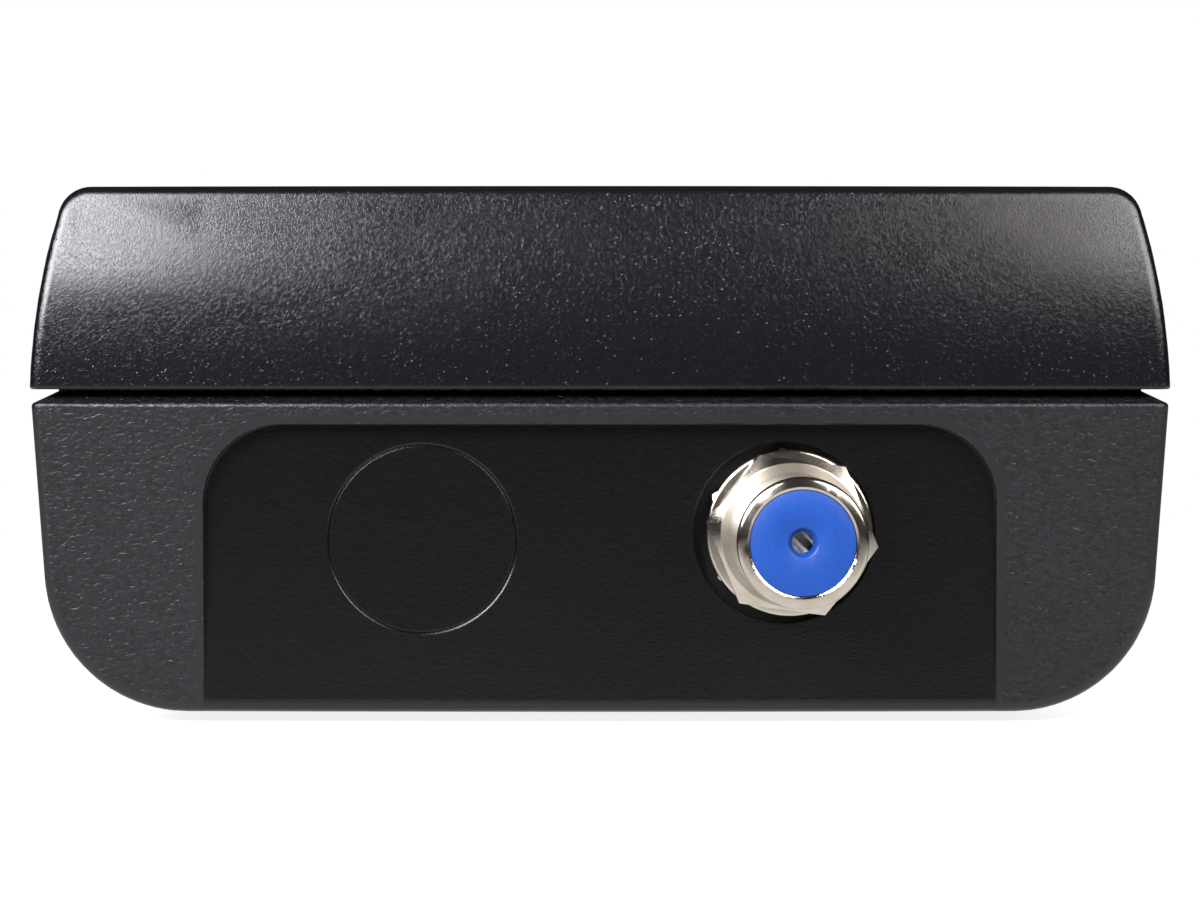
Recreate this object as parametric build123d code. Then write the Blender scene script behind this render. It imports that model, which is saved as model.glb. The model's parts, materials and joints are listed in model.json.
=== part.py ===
from build123d import *
from math import atan2, cos, radians, sin, sqrt, tan
import os

# A handheld satellite signal meter, lying on its back. Millimetres, +Z up, the connector end towards -Y.
# All values are from the middle of the case. The finished pieces are then moved so that the origin is
# under the middle of the whole meter, connector included.

# Case
case_width = 86.16           # rear cover at its top edge
foot_height = 0.8            # how far the rubber feet stand out of the back
rear_height = 23.4           # from the back to the rear cover's outer top edge
draft = 3.7                  # degrees, sides and ends of the rear cover
rear_corner_radius = 10.8    # the long lower edges
end_bow = 1.0                # how far the middle of each end face stands out in front of its corners
end_edge_radius = 0.8        # rear cover, around each end face
rear_wall = 2.4
rear_end_wall = 3.8          # end walls at the top edge, thinner lower down because of the draft

# Shadow groove, tongue and seal between the covers
shoulder_rise = 1.0
shoulder_run = 1.8
seam_edge_radius = 0.3
seam_clearance = 0.1         # from the shoulder's top to the front cover
tongue_wall = 1.05
tongue_height = 1.8
tongue_root = 2.2            # how far the tongue runs down inside the rear cover's wall
tongue_clearance = 0.15
seal_thickness = 0.6
seal_width = 0.8

# Front cover
cover_height = 15.5
cover_overhang = 0.12        # how far it stands out past the rear cover
cover_side_radius = 57.0
cover_lean = 1.0             # degrees, at its lower edge
cover_corner_radius = 2.5    # the long upper edges
cover_end_radius = 0.9       # around each end face
cover_lip_radius = 0.2       # around its lower edge
cover_wall = 2.8
cover_top_wall = 2.4

# Recess, knock-out and connector hole in the connector end
recess_side_margin = 13.08   # from the rear cover's side at its top edge
recess_top_margin = 1.5      # below the rear cover's outer top edge
recess_corner_radius = 6.0
recess_depth = 1.45          # at the rear cover's top edge, gone at the bottom because of the draft
knockout_inset = 29.61       # from the rear cover's side
knockout_z = 13.18           # above the back
knockout_radius = 7.11
knockout_line = 0.12
knockout_line_depth = 0.12
knockout_line_flare = 0.1   # width of the slope outside the line
knockout_line_drop = 0.05
knockout_bow_room = 0.25     # for the panel's bow across the knock-out
knockout_skin = 1.0
port_hole_shift_x = -0.34    # the hole isn't quite centred on the connector
port_hole_shift_z = -0.05
port_hole_clearance = 0.47   # around the nut's corners

# F connector
port_inset = 28.81           # from the rear cover's side
port_z = 13.7                # above the back
thread_radius = 4.7
thread_depth = 0.35
thread_pitch = 0.794
thread_land = 0.45           # the crest's share of the pitch
front_thread_length = 11.0
barrel_rim_length = 0.9
barrel_rim_step = 0.04       # the rim is this much inside the thread's crests
barrel_rim_round = 0.25
barrel_wall = 0.45           # under the thread's roots
rim_lip = 0.13               # the rim is rolled in over the insulator
rim_lip_length = 0.35
hex_flats = 11.11
hex_length = 3.8
hex_chamfer = 0.55
hex_face_step = 0.25         # the chamfer's circle is this much inside the flats
hex_turn = 52.0              # degrees, where one corner points
rear_thread_length = 11.0
insulator_hole_radius = 0.8
countersink_radius = 1.1
countersink_depth = 0.4
insulator_length = 3.0
insulator_clearance = 0.05
contact_radius = 1.0
contact_wall = 0.18
contact_slit = 0.5
contact_front_gap = 1.2      # from the insulator's face back to the leaves
flat_washer_margin = 0.7     # past the hex's flats
flat_washer_thickness = 0.6
lock_washer_margin = 0.55
lock_washer_thickness = 0.7
lock_washer_teeth = 18
lock_tooth_length = 0.55
lock_tooth_width = 1.1
jam_nut_length = 3.0
jam_nut_turn = 34.0
washer_clearance = 0.15
nut_clearance = 0.05

# Tuner can
can_width = 19.0
can_length = 30.0
can_wall = 0.5
can_floor_gap = 3.3          # its ribs' height above the inside of the back
can_headroom = 4.7           # from its top to the main board
can_rib_inset = 3.0          # from its ends to the ribs' near sides
can_rib_width = 2.0
can_end_clearance = 0.2
can_lid_wall = 0.4
can_lid_skirt = 5.0
tuner_pin_count = 10
tuner_pin_pitch = 2.0
tuner_pin_side = 0.6
tuner_pin_slot = 1.4
tuner_pin_inset = 3.0
tuner_pin_strip = 2.4
tuner_strip_height = 2.0

# Boards
board_thickness = 1.6
board_rise = 3.6             # main board's upper face above the rear cover's shoulder
board_side_margin = 6.63     # from the rear cover's side
board_end_margin = 17.0
board_tongue_margin = 5.0    # from the case screws
board_tongue_end_margin = 5.5
board_boss_inset = 3.0
board_boss_end_inset = 7.0
board_boss_radius = 2.8
board_screw_radius = 1.05
board_screw_length = 8.0
screw_head_radius = 2.2
screw_head_height = 1.4
screw_slot_width = 0.7
screw_slot_depth = 0.6
screw_slot_share = 0.6       # of the head's radius
screw_round_share = 0.4      # of the head's height
screw_hole_clearance = 0.3
pilot_clearance = 0.05

# Case screws and their bosses
case_screw_inset = 13.63     # from the rear cover's side
case_screw_end_inset = 8.6
case_boss_radius = 3.6
case_screw_radius = 1.3
case_screw_bite = 8.0        # how far the screws reach into the front cover's bosses
case_head_radius = 2.6
case_head_height = 1.8
case_head_depth = 3.2        # how far the heads are sunk into the back
case_head_clearance = 0.5

# Rubber feet
foot_radius = 4.5
foot_round_share = 0.4       # of the foot's height
foot_sunk = 1.0
foot_inset = 6.0             # from the case screws towards the middle
foot_front_inset = 26.0      # from the connector end
foot_back_inset = 22.0       # from the other end
foot_clearance = 0.1

# Battery, its bay and door
cell_radius = 9.2
cell_length = 65.0
cell_count = 3
cell_gap = 0.1
cell_y = -2.0
cell_edge_radius = 0.8
cell_side_clearance = 0.2
cell_end_clearance = 1.0
tab_thickness = 0.2
tab_width = 8.0
bay_wall = 2.2
bay_wall_top = 19.0          # above the back
door_thickness = 1.8
door_clearance = 0.15
door_screw_x = 20.0
door_screw_radius = 1.1
door_screw_length = 4.5
door_screw_head_radius = 2.2
door_screw_head_height = 1.0
door_screw_margin = 3.0      # from the screws to the door's end
door_pad = 6.4               # the ledge under the screws
door_pad_height = 5.5
cell_pad_thickness = 0.8
cell_pad_gap = 0.1
cell_pad_margin = 2.0
door_corner_radius = 1.0

# Display
window_inset = 15.0          # from the connector end
window_length = 54.0
window_side_margin = 1.5     # inside the overlay's sides
window_thickness = 1.5
window_corner_radius = 2.5
window_ledge = 2.0
window_clearance = 0.1
display_border = 2.0         # how far the display stands out past the window
display_corner_radius = 1.0
display_thickness = 3.2
display_bezel = 4.0
display_glass_step = 0.3
gasket_thickness = 0.5
gasket_width = 2.0
frame_thickness = 1.5
frame_leg_side = 4.0
frame_leg_inset = 4.0        # from the display's ends to the legs' near sides
ribbon_width = 24.0
ribbon_thickness = 0.3
ribbon_inset = 6.0           # from the display's end to the ribbon
ribbon_socket_height = 2.0
ribbon_socket_length = 4.0
ribbon_socket_margin = 1.0

# Front overlay
overlay_thickness = 0.5
overlay_side_margin = 6.25   # from the front cover's side
overlay_end_margin = 5.0     # from the connector end
overlay_key_margin = 2.5     # past the keypad board
overlay_corner_radius = 4.0
overlay_clearance = 0.1
overlay_key_clearance = 0.5

# Keys
key_proud = 1.4
key_travel = 0.8
key_clearance = 0.2
key_flange = 0.8
key_flange_thickness = 1.0
key_rest_gap = 0.1           # from the flange to the inside of the front cover
key_stop_gap = 0.05          # what is left under a key pressed all the way
key_edge_radius = 0.4
soft_key_margin = 4.5        # from the overlay's side to the row's first and last quarter
soft_key_gap = 3.0
soft_key_height = 7.0
soft_key_count = 4
window_to_soft_keys = 9.0    # from the window to the middle of the row
soft_key_radius = 1.5
ok_key_radius = 8.0
arrow_inner_radius = 10.4
arrow_side_gap = 4.0         # from the ring of arrows to the keys beside it
arrow_gap = 2.4
side_key_width = 9.0
side_key_height = 8.0
side_key_inset = 7.0         # from the overlay's side
side_key_spread = 3.0        # their spacing is this much more than the ring's radius
side_key_radius = 1.5

# Keypad board and mat
keypad_side_margin = 0.5     # inside the overlay's sides
keypad_front_margin = 5.5    # from the soft keys' middle
keypad_end_margin = 4.3      # past the far bosses
mat_thickness = 1.0
mat_margin = 0.6
dome_radius = 3.0
dome_height = 0.5
dome_clearance = 0.2
mat_bump_radius = 3.4
keypad_boss_inset = 4.2
soft_keys_to_boss = 7.8
boss_to_side_keys = 6.2
side_keys_to_boss = 4.2
keypad_boss_radius = 2.3
short_screw_length = 5.0
mat_boss_clearance = 0.4
link_length = 20.0
link_depth = 3.6
link_inset = 19.0            # from the keypad board's side

# Light pipes and LEDs
led_count = 3
led_pitch = 10.0
led_inset = 9.0              # from the connector end
pipe_radius = 1.5
pipe_proud = 0.2
pipe_collar = 0.7
pipe_collar_thickness = 1.0
pipe_clearance = 0.05
pipe_end_radius = 0.2
led_height = 0.7
led_width = 1.6
led_length = 3.2
led_gap = 0.2

# Speaker and grille
speaker_key_gap = 2.5        # from the keypad board to the speaker
speaker_end_gap = 5.0        # from the speaker to the case's end
speaker_radius = 14.0
speaker_thickness = 4.4
speaker_flange = 1.4
speaker_magnet_radius = 8.5
speaker_gasket_thickness = 0.6
speaker_gasket_width = 2.0
speaker_clearance = 0.15
speaker_rib = 1.4
speaker_rib_height = 3.4
grille_hole_radius = 0.8
grille_pitch = 3.2
grille_rings = 3

# How far cutting tools run past the faces they cut, and how far posts run into the wall they stand on
overcut = 1.0
boss_root = 0.5
boss_meet_drop = 0.2         # the case screws' posts meet this far below the shoulder's top

# Socket board at the other end
socket_board_width = 44.0
socket_board_top = 8.8       # above the back
socket_board_clearance = 0.3
socket_board_boss_inset = 3.5
socket_board_boss_front = 3.3
socket_plug_gap = 0.5        # from the ribbon's plug to the sockets
socket_screw_room = 6.0      # in front of the AV jack
jack_end_margin = 7.5        # from the socket board's end to the DC jack
jack_width = 9.0
jack_height = 10.8
jack_length = 13.5
jack_axis_height = 6.5
jack_bore_radius = 3.15
jack_bore_depth = 9.5
jack_edge_radius = 1.0
jack_pin_radius = 1.05
jack_port_radius = 4.2
jack_to_usb = 14.5           # between their middles
usb_width = 7.7
usb_height = 3.9
usb_length = 9.2
usb_wall = 0.35
usb_tongue = 0.9
usb_tongue_margin = 1.4
usb_port_margin = 0.8
av_end_margin = 3.0          # from the AV jack to the socket board's other end
av_width = 6.0
av_height = 5.0
av_length = 12.0
av_bore_radius = 1.8
av_bore_depth = 10.0
av_port_radius = 3.0
flex_width = 10.0
flex_thickness = 0.3
flex_plug_height = 4.0
flex_plug_depth = 4.0
flex_plug_margin = 1.5
flex_inset = 2.5             # from the socket board's inner end to the ribbon

# Parts on the main board
chip_side = 17.0
chip_height = 1.6
chip_chamfer = 0.3
chip_y = 8.0
memory_length = 12.0
memory_width = 8.0
memory_height = 1.0
memory_y = 26.0
memory_spacing = 20.0
capacitor_radius = 4.0
capacitor_height = 7.0
capacitor_x = -20.0
capacitor_inset = 18.0       # from the connector end
capacitor_edge_radius = 0.5
capacitor_spacing = 10.0
capacitor_count = 2
inductor_side = 7.0
inductor_height = 3.4
inductor_inset = 28.0        # from the other end
inductor_chamfer = 1.2
inductor_spacing = 11.0
inductor_count = 3

# Levels and places that follow from the sizes above
rear_half_width = case_width / 2
cover_half_width = rear_half_width + cover_overhang
overlay_half_width = cover_half_width - overlay_side_margin
window_width = 2 * (overlay_half_width - window_side_margin)
side_key_x = overlay_half_width - side_key_inset
arrow_outer_radius = side_key_x - side_key_width / 2 - arrow_side_gap
side_key_spacing = arrow_outer_radius + side_key_spread
soft_key_pitch = 2 * (overlay_half_width - soft_key_margin) / soft_key_count
soft_key_width = soft_key_pitch - soft_key_gap
keypad_half_width = overlay_half_width - keypad_side_margin

# Along the case, from its connector end
soft_key_start = window_inset + window_length + window_to_soft_keys
near_boss_start = soft_key_start + soft_keys_to_boss
near_key_start = near_boss_start + boss_to_side_keys + side_key_height / 2
far_key_start = near_key_start + side_key_spacing
far_boss_start = far_key_start + side_key_height / 2 + side_keys_to_boss
keypad_end = far_boss_start + keypad_end_margin
speaker_start = keypad_end + speaker_key_gap + speaker_radius
case_length = speaker_start + speaker_radius + speaker_end_gap

# Levels
back = foot_height
rear_top = back + rear_height
shoulder_top = rear_top + shoulder_rise
cover_bottom = shoulder_top + seam_clearance
cover_top = cover_bottom + cover_height
rear_floor = back + rear_wall
cover_ceiling = cover_top - cover_top_wall
tongue_top = shoulder_top + tongue_height
seal_top = tongue_top + seal_thickness
board_level = shoulder_top + board_rise
board_bottom = board_level - board_thickness
case_boss_meet = shoulder_top - boss_meet_drop

# Case, from its middle
rear_half_length = case_length / 2
cover_half_length = rear_half_length + cover_overhang
bow_radius = (rear_half_width**2 + end_bow**2) / (2 * end_bow)
rear_end = rear_half_length - rear_end_wall
tongue_inset = shoulder_run + tongue_clearance / 2
recess_half_width = rear_half_width - recess_side_margin
recess_top = rear_height - recess_top_margin
knockout_x = knockout_inset - rear_half_width
case_screw_x = rear_half_width - case_screw_inset
case_screw_y = rear_half_length - case_screw_end_inset
screw_places = [(x, y) for x in (-case_screw_x, case_screw_x) for y in (-case_screw_y, case_screw_y)]
foot_x = case_screw_x - foot_inset
foot_front_y = foot_front_inset - rear_half_length
foot_back_y = rear_half_length - foot_back_inset
foot_places = [(x, y) for x in (-foot_x, foot_x) for y in (foot_front_y, foot_back_y)]

# F connector and tuner can
port_x = rear_half_width - port_inset
port_height = back + port_z
port_hole_x = port_x + port_hole_shift_x
port_hole_height = port_height + port_hole_shift_z
port_hole_radius = hex_flats / sqrt(3) + port_hole_clearance
thread_root = thread_radius - thread_depth
barrel_bore_radius = thread_root - barrel_wall
flat_washer_radius = hex_flats / 2 + flat_washer_margin
lock_washer_radius = hex_flats / 2 + lock_washer_margin
can_front = -rear_end + can_end_clearance
can_back = can_front + can_length
can_left = port_x - can_width / 2
can_right = port_x + can_width / 2
can_bottom = rear_floor + can_floor_gap
can_top = board_bottom - can_headroom
hex_back = can_front - flat_washer_thickness - lock_washer_thickness - jam_nut_length
hex_front = hex_back - hex_length
barrel_tip = hex_front - front_thread_length
barrel_back = can_front + can_wall + rear_thread_length - jam_nut_length
tuner_pin_x = can_right - tuner_pin_inset
tuner_pin_start = (can_front + can_back - (tuner_pin_count - 1) * tuner_pin_pitch) / 2
tuner_pin_rows = [tuner_pin_start + i * tuner_pin_pitch for i in range(tuner_pin_count)]

# Main board
board_half_width = rear_half_width - board_side_margin
board_half_length = rear_half_length - board_end_margin
board_tongue_half_width = case_screw_x - board_tongue_margin
board_tongue_half_length = rear_half_length - board_tongue_end_margin
board_boss_x = board_half_width - board_boss_inset
board_boss_y = board_half_length - board_boss_end_inset
board_boss_places = [(x, y) for x in (-board_boss_x, board_boss_x) for y in (-board_boss_y, 0, board_boss_y)]
capacitor_y = capacitor_inset - rear_half_length
inductor_y = rear_half_length - inductor_inset

# Battery
door_seat = back + door_thickness
cell_pitch = 2 * cell_radius + cell_gap
cell_bottom = door_seat + cell_pad_thickness + cell_pad_gap
bay_half_width = (cell_count - 1) / 2 * cell_pitch + cell_radius + cell_side_clearance
bay_front = cell_y - cell_length / 2 - cell_end_clearance
bay_back = cell_y + cell_length / 2 + cell_end_clearance
door_half_width = bay_half_width + bay_wall
door_front = bay_front - bay_wall
door_back = bay_back + door_pad
door_screw_y = door_back - door_screw_margin

# Display and overlay
window_y = window_inset + window_length / 2 - rear_half_length
window_seat = cover_top - window_thickness
display_width = window_width + 2 * display_border
display_length = window_length + 2 * display_border
display_top = cover_ceiling - gasket_thickness
display_bottom = display_top - display_thickness
frame_bottom = display_bottom - frame_thickness
ribbon_y = window_y + display_length / 2 - ribbon_inset
overlay_bottom = cover_top - overlay_thickness
overlay_front = rear_half_length - overlay_end_margin
overlay_back = keypad_end + overlay_key_margin - rear_half_length
overlay_length = overlay_front + overlay_back
overlay_y = (overlay_back - overlay_front) / 2

# Keys, keypad board, light pipes and speaker
key_top = cover_top + key_proud
flange_top = cover_ceiling - key_rest_gap
flange_bottom = flange_top - key_flange_thickness
bump_top = flange_bottom - key_travel - key_stop_gap
mat_top = bump_top - dome_height
keypad_level = mat_top - mat_thickness
keypad_bottom = keypad_level - board_thickness
soft_key_y = soft_key_start - rear_half_length
near_key_y = near_key_start - rear_half_length
far_key_y = far_key_start - rear_half_length
nav_y = (near_key_y + far_key_y) / 2
keypad_front_y = soft_key_y - keypad_front_margin
keypad_back_y = keypad_end - rear_half_length
keypad_boss_x = keypad_half_width - keypad_boss_inset
keypad_boss_places = [
    (x, start - rear_half_length)
    for x in (-keypad_boss_x, keypad_boss_x) for start in (near_boss_start, far_boss_start)
]
link_x = link_inset - keypad_half_width
led_y = led_inset - rear_half_length
pipe_places = [((i - (led_count - 1) / 2) * led_pitch, led_y) for i in range(led_count)]
pipe_bottom = board_level + led_height + led_gap
speaker_y = speaker_start - rear_half_length
speaker_top = cover_ceiling - speaker_gasket_thickness

# Socket board
socket_level = back + socket_board_top
socket_board_bottom = socket_level - board_thickness
socket_board_back = rear_end - socket_board_clearance
socket_board_length = max(jack_length + socket_plug_gap + flex_plug_depth, av_length + socket_screw_room)
socket_board_front = socket_board_back - socket_board_length
socket_boss_x = socket_board_width / 2 - socket_board_boss_inset
jack_x = jack_end_margin + jack_width / 2 - socket_board_width / 2
usb_x = jack_x + jack_to_usb
av_x = socket_board_width / 2 - av_end_margin - av_width / 2
socket_boss_y = socket_board_front + socket_board_boss_front
socket_boss_places = [(-socket_boss_x, socket_boss_y), (socket_boss_x, socket_boss_y)]
jack_level = socket_level + jack_axis_height
usb_level = socket_level + usb_height / 2
av_level = socket_level + av_height / 2
flex_y = socket_board_front + flex_inset
middle_shift = -(barrel_tip + cover_half_length) / 2


# Outline of the case seen from above, drawn in by an inset, between two levels
def plan_slab(half_width, half_length, inset, bottom, top):
    rim = bow_radius - inset
    outline = Rectangle(2 * (half_width - inset), 2 * (half_length - inset))
    outline &= Pos(0, half_length - bow_radius) * Circle(rim)
    outline &= Pos(0, bow_radius - half_length) * Circle(rim)
    return Pos(0, 0, bottom) * extrude(outline, top - bottom)


# A closed band that follows the case's outline
def outline_band(inset, wall, bottom, top):
    band = plan_slab(rear_half_width, rear_half_length, inset, bottom, top)
    return band - plan_slab(rear_half_width, rear_half_length, inset + wall, bottom, top)


# Cut a section to length between two bowed ends, each made by turning the end's own profile
def between_ends(section, end_profile, half_length):
    disc = revolve(end_profile, Axis.Z)
    body = extrude(section, half_length + end_bow, both=True)
    body &= Pos(0, bow_radius - half_length) * disc
    body &= Pos(0, half_length - bow_radius) * disc
    return body


# The front cover's side from its lower edge up to the flat top, as points for two arcs
def crown_points(edge, side_inset, top, corner, floor):
    lean = radians(cover_lean)
    centre_x = edge - cover_side_radius * cos(lean)
    centre_z = cover_bottom - cover_side_radius * sin(lean)
    radius = cover_side_radius - side_inset
    corner_z = top - corner
    reach = radius - corner
    turn = atan2(corner_z - centre_z, sqrt(reach**2 - (corner_z - centre_z) ** 2))
    corner_x = centre_x + reach * cos(turn)
    start = atan2(floor - centre_z, sqrt(radius**2 - (floor - centre_z) ** 2))
    middle = (start + turn) / 2
    half_turn = (turn + radians(90)) / 2
    return [
        (centre_x + radius * cos(start), floor),
        (centre_x + radius * cos(middle), centre_z + radius * sin(middle)),
        (centre_x + radius * cos(turn), centre_z + radius * sin(turn)),
        (corner_x + corner * cos(half_turn), corner_z + corner * sin(half_turn)),
        (corner_x, top),
    ]


def crown_section(side_inset, top, corner, floor):
    low, low_mid, touch, high_mid, high = crown_points(cover_half_width, side_inset, top, corner, floor)
    right = [ThreePointArc(low, low_mid, touch), ThreePointArc(touch, high_mid, high)]
    left = [mirror(edge, about=Plane.YZ) for edge in right]
    flats = [Line((-low[0], floor), low), Line(high, (-high[0], top))]
    return Plane.XZ * make_face(Curve() + right + left + flats)


def crown_end(side_inset, top, floor):
    low, low_mid, high = crown_points(bow_radius, side_inset, top, 0, floor)[:3]
    edges = [Line((0, floor), low), ThreePointArc(low, low_mid, high), Polyline(high, (0, top), (0, floor))]
    return Plane.XZ * make_face(Curve() + edges)


def front_shell(side_inset, top, corner, floor):
    section = crown_section(side_inset, top, corner, floor)
    return between_ends(section, crown_end(side_inset, top, floor), cover_half_length)


# The edges around both end faces, apart from those in the flat face at the given level
def end_rims(body, open_level):
    rims = []
    for edge in body.edges():
        box = edge.bounding_box()
        if box.size.Y < case_length / 2 and abs(box.center().Z - open_level) > 0.01:
            rims.append(edge)
    return rims


# Rear cover's drafted section, and the same draft for its end
def rear_section(inset, radius, top):
    slope = tan(radians(draft))
    low = back + inset
    narrow = rear_half_width - rear_height * slope - inset / cos(radians(draft)) + inset * slope
    wide = narrow + (top - low) * slope
    points = [(-wide, top), (wide, top), (narrow, low), (-narrow, low)]
    face = make_face(Polyline(points, close=True))
    lower = [vertex for vertex in face.vertices() if vertex.Y < low + 1]
    return Plane.XZ * fillet(lower, radius)


def rear_end_profile():
    slope = tan(radians(draft))
    top_reach = bow_radius + (shoulder_top - rear_top) * slope
    low_reach = bow_radius - rear_height * slope
    points = [(0, back), (low_reach, back), (top_reach, shoulder_top), (0, shoulder_top)]
    return Plane.XZ * make_face(Polyline(points, close=True))


def column(radius, bottom, top, x=0.0, y=0.0):
    return Pos(x, y, (bottom + top) / 2) * Cylinder(radius, top - bottom)


# A round piece that lies along Y, from one place to another
def rod(radius, start, end, x, z):
    return Pos(x, (start + end) / 2, z) * Rot(90, 0, 0) * Cylinder(radius, end - start)


def block(x1, x2, y1, y2, z1, z2):
    return Pos((x1 + x2) / 2, (y1 + y2) / 2, (z1 + z2) / 2) * Box(x2 - x1, y2 - y1, z2 - z1)


def rounded_block(width, length, radius, bottom, top, x=0.0, y=0.0):
    return Pos(x, y, bottom) * extrude(RectangleRounded(width, length, radius), top - bottom)


def recess_tool():
    outline = Pos(0, back) * RectangleRounded(2 * recess_half_width, 2 * recess_top, recess_corner_radius)
    prism = Plane.XZ * extrude(outline, rear_half_length + 2 * end_bow)
    return prism - panel_disc(recess_depth)


# Everything behind the recess's panel, which is bowed like the end face
def panel_disc(depth):
    return Pos(0, bow_radius - rear_half_length) * column(bow_radius - depth, back - overcut, cover_top)


# Takes off the rear cover's upper outer edge, which leaves the sloped shoulder of the shadow groove
def shoulder_tool():
    levels = (rear_top - shoulder_rise / 2, shoulder_top + shoulder_rise / 2)
    insets = (-shoulder_run / 2, shoulder_run * 1.5)
    rings = [Pos(0, 0, level) * plan_face(inset) for level, inset in zip(levels, insets)]
    core = loft(rings, ruled=True)
    outside = Pos(0, 0, levels[0]) * extrude(plan_face(-2 * shoulder_run), levels[1] - levels[0])
    return outside - core


# The rear cover's outline seen from above, drawn in by an inset, with its corners rounded
def plan_face(inset):
    outline = Rectangle(2 * (rear_half_width - inset), 2 * (rear_half_length - inset))
    outline &= Pos(0, rear_half_length - bow_radius) * Circle(bow_radius - inset)
    outline &= Pos(0, bow_radius - rear_half_length) * Circle(bow_radius - inset)
    return fillet(outline.vertices(), end_edge_radius)


def rear_outer():
    body = between_ends(
        rear_section(0, rear_corner_radius, shoulder_top), rear_end_profile(), rear_half_length
    )
    body = fillet(end_rims(body, shoulder_top), end_edge_radius)
    body -= shoulder_tool()
    seam = [
        edge for edge in body.edges()
        if abs(edge.bounding_box().min.Z - rear_top) < 0.05 and edge.bounding_box().size.Z < 0.05
    ]
    return fillet(seam, seam_edge_radius)


def rear_cover():
    outer = rear_outer()
    cavity = rear_section(rear_wall, rear_corner_radius - rear_wall, shoulder_top + overcut)
    body = outer - extrude(cavity, rear_end, both=True)
    body += outline_band(tongue_inset, tongue_wall, rear_top - tongue_root, tongue_top)
    room = plan_slab(
        rear_half_width, rear_half_length, tongue_inset + tongue_wall, shoulder_top - overcut, board_level
    )
    room += outer
    for support in rear_supports():
        body += support & room
    body -= recess_tool()
    body = flare_groove(body - knockout_groove())
    body -= knockout_pocket()
    for hole in rear_holes():
        body -= hole
    return body


# Posts, walls and ribs inside the rear cover
def rear_supports():
    supports = [column(board_boss_radius, back, board_bottom, x, y) for x, y in board_boss_places]
    supports += [column(case_boss_radius, back, case_boss_meet, x, y) for x, y in screw_places]
    supports += [column(board_boss_radius, back, socket_board_bottom, x, y) for x, y in socket_boss_places]
    return supports + [bay_walls()] + can_ribs()


def rear_holes():
    outside = back - overcut
    front = -rear_half_length - overcut
    holes = [rod(port_hole_radius, front, -rear_end + overcut, port_hole_x, port_hole_height)]
    pilot = board_screw_radius + pilot_clearance
    for x, y in screw_places:
        holes.append(column(case_head_radius + case_head_clearance, outside, back + case_head_depth, x, y))
        holes.append(column(case_screw_radius + screw_hole_clearance, back, case_boss_meet, x, y))
    for x, y in board_boss_places:
        holes.append(column(pilot, board_bottom - board_screw_length, board_bottom, x, y))
    for x, y in socket_boss_places:
        holes.append(column(pilot, socket_level - short_screw_length - boss_root, socket_board_bottom, x, y))
    for x, y in foot_places:
        holes.append(column(foot_radius + foot_clearance, outside, back + foot_sunk, x, y))
    for x in (-door_screw_x, door_screw_x):
        radius = door_screw_radius + pilot_clearance
        holes.append(column(radius, door_seat, back + door_pad_height, x, door_screw_y))
    holes.append(block(-bay_half_width, bay_half_width, bay_front, bay_back, outside, rear_floor + overcut))
    holes.append(block(-door_half_width, door_half_width, door_front, door_back, outside, door_seat))
    return holes + socket_ports()


def knockout_groove():
    height = back + knockout_z
    ring = rod(knockout_radius + knockout_line / 2, -rear_half_length, -rear_end, knockout_x, height)
    ring -= rod(knockout_radius - knockout_line / 2, -rear_half_length, -rear_end, knockout_x, height)
    return ring - panel_disc(recess_depth + knockout_line_depth)


# Slopes the groove's outer edge, which then catches the light as a fine line
def flare_groove(body):
    width = 2 * knockout_radius + knockout_line
    rims = [edge for edge in body.edges() if abs(edge.bounding_box().size.Z - width) < 0.001]
    rim = ShapeList(rims).sort_by(Axis.Y)[0]
    face = ShapeList(face for face in body.faces() if rim in face.edges()).sort_by(Axis.Y)[0]
    return body.chamfer(knockout_line_flare, knockout_line_drop, [rim], face)


# Thins the wall behind the knock-out, which is punched out where a second connector is fitted
def knockout_pocket():
    start = recess_depth + knockout_skin + knockout_bow_room - rear_half_length
    return rod(knockout_radius - knockout_line, start, -rear_end + overcut, knockout_x, back + knockout_z)


def bay_walls():
    top = back + bay_wall_top
    far = bay_back + bay_wall
    walls = block(-door_half_width, door_half_width, door_front, far, door_seat, top)
    ledge_top = back + door_pad_height
    walls += block(-door_half_width, door_half_width, bay_back, door_back + bay_wall, door_seat, ledge_top)
    return walls - block(-bay_half_width, bay_half_width, bay_front, bay_back, back, top)


def can_ribs():
    starts = (can_front + can_rib_inset, can_back - can_rib_inset - can_rib_width)
    low = rear_floor - boss_root
    return [block(can_left, can_right, start, start + can_rib_width, low, can_bottom) for start in starts]


# Openings in the far end wall for the sockets
def socket_ports():
    near = rear_end - overcut
    far = rear_half_length + overcut
    width = usb_width + 2 * usb_port_margin
    height = usb_height + 2 * usb_port_margin
    slot = extrude(RectangleRounded(width, height, usb_port_margin), far - near)
    usb = Pos(usb_x, near, usb_level) * Rot(-90, 0, 0) * slot
    jack = rod(jack_port_radius, near, far, jack_x, jack_level)
    return [jack, usb, rod(av_port_radius, near, far, av_x, av_level)]


def grille_places():
    places = [(0.0, 0.0)]
    for ring in range(1, grille_rings + 1):
        for i in range(6 * ring):
            turn = radians(60 / ring * i)
            places.append((ring * grille_pitch * cos(turn), ring * grille_pitch * sin(turn)))
    return places


def soft_key_face():
    return RectangleRounded(soft_key_width, soft_key_height, soft_key_radius)


def side_key_face():
    return RectangleRounded(side_key_width, side_key_height, side_key_radius)


# A quarter of the ring round the OK key. Turned by 0 it points along +X.
def arrow_face(turn):
    ring = Circle(arrow_outer_radius) - Circle(arrow_inner_radius)
    size = 2 * arrow_outer_radius
    shift = arrow_gap / sqrt(2)
    wedge = Pos(shift + size / sqrt(2), 0) * Rot(0, 0, 45) * Rectangle(size, size)
    return Rot(0, 0, turn) * (ring & wedge)


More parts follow.
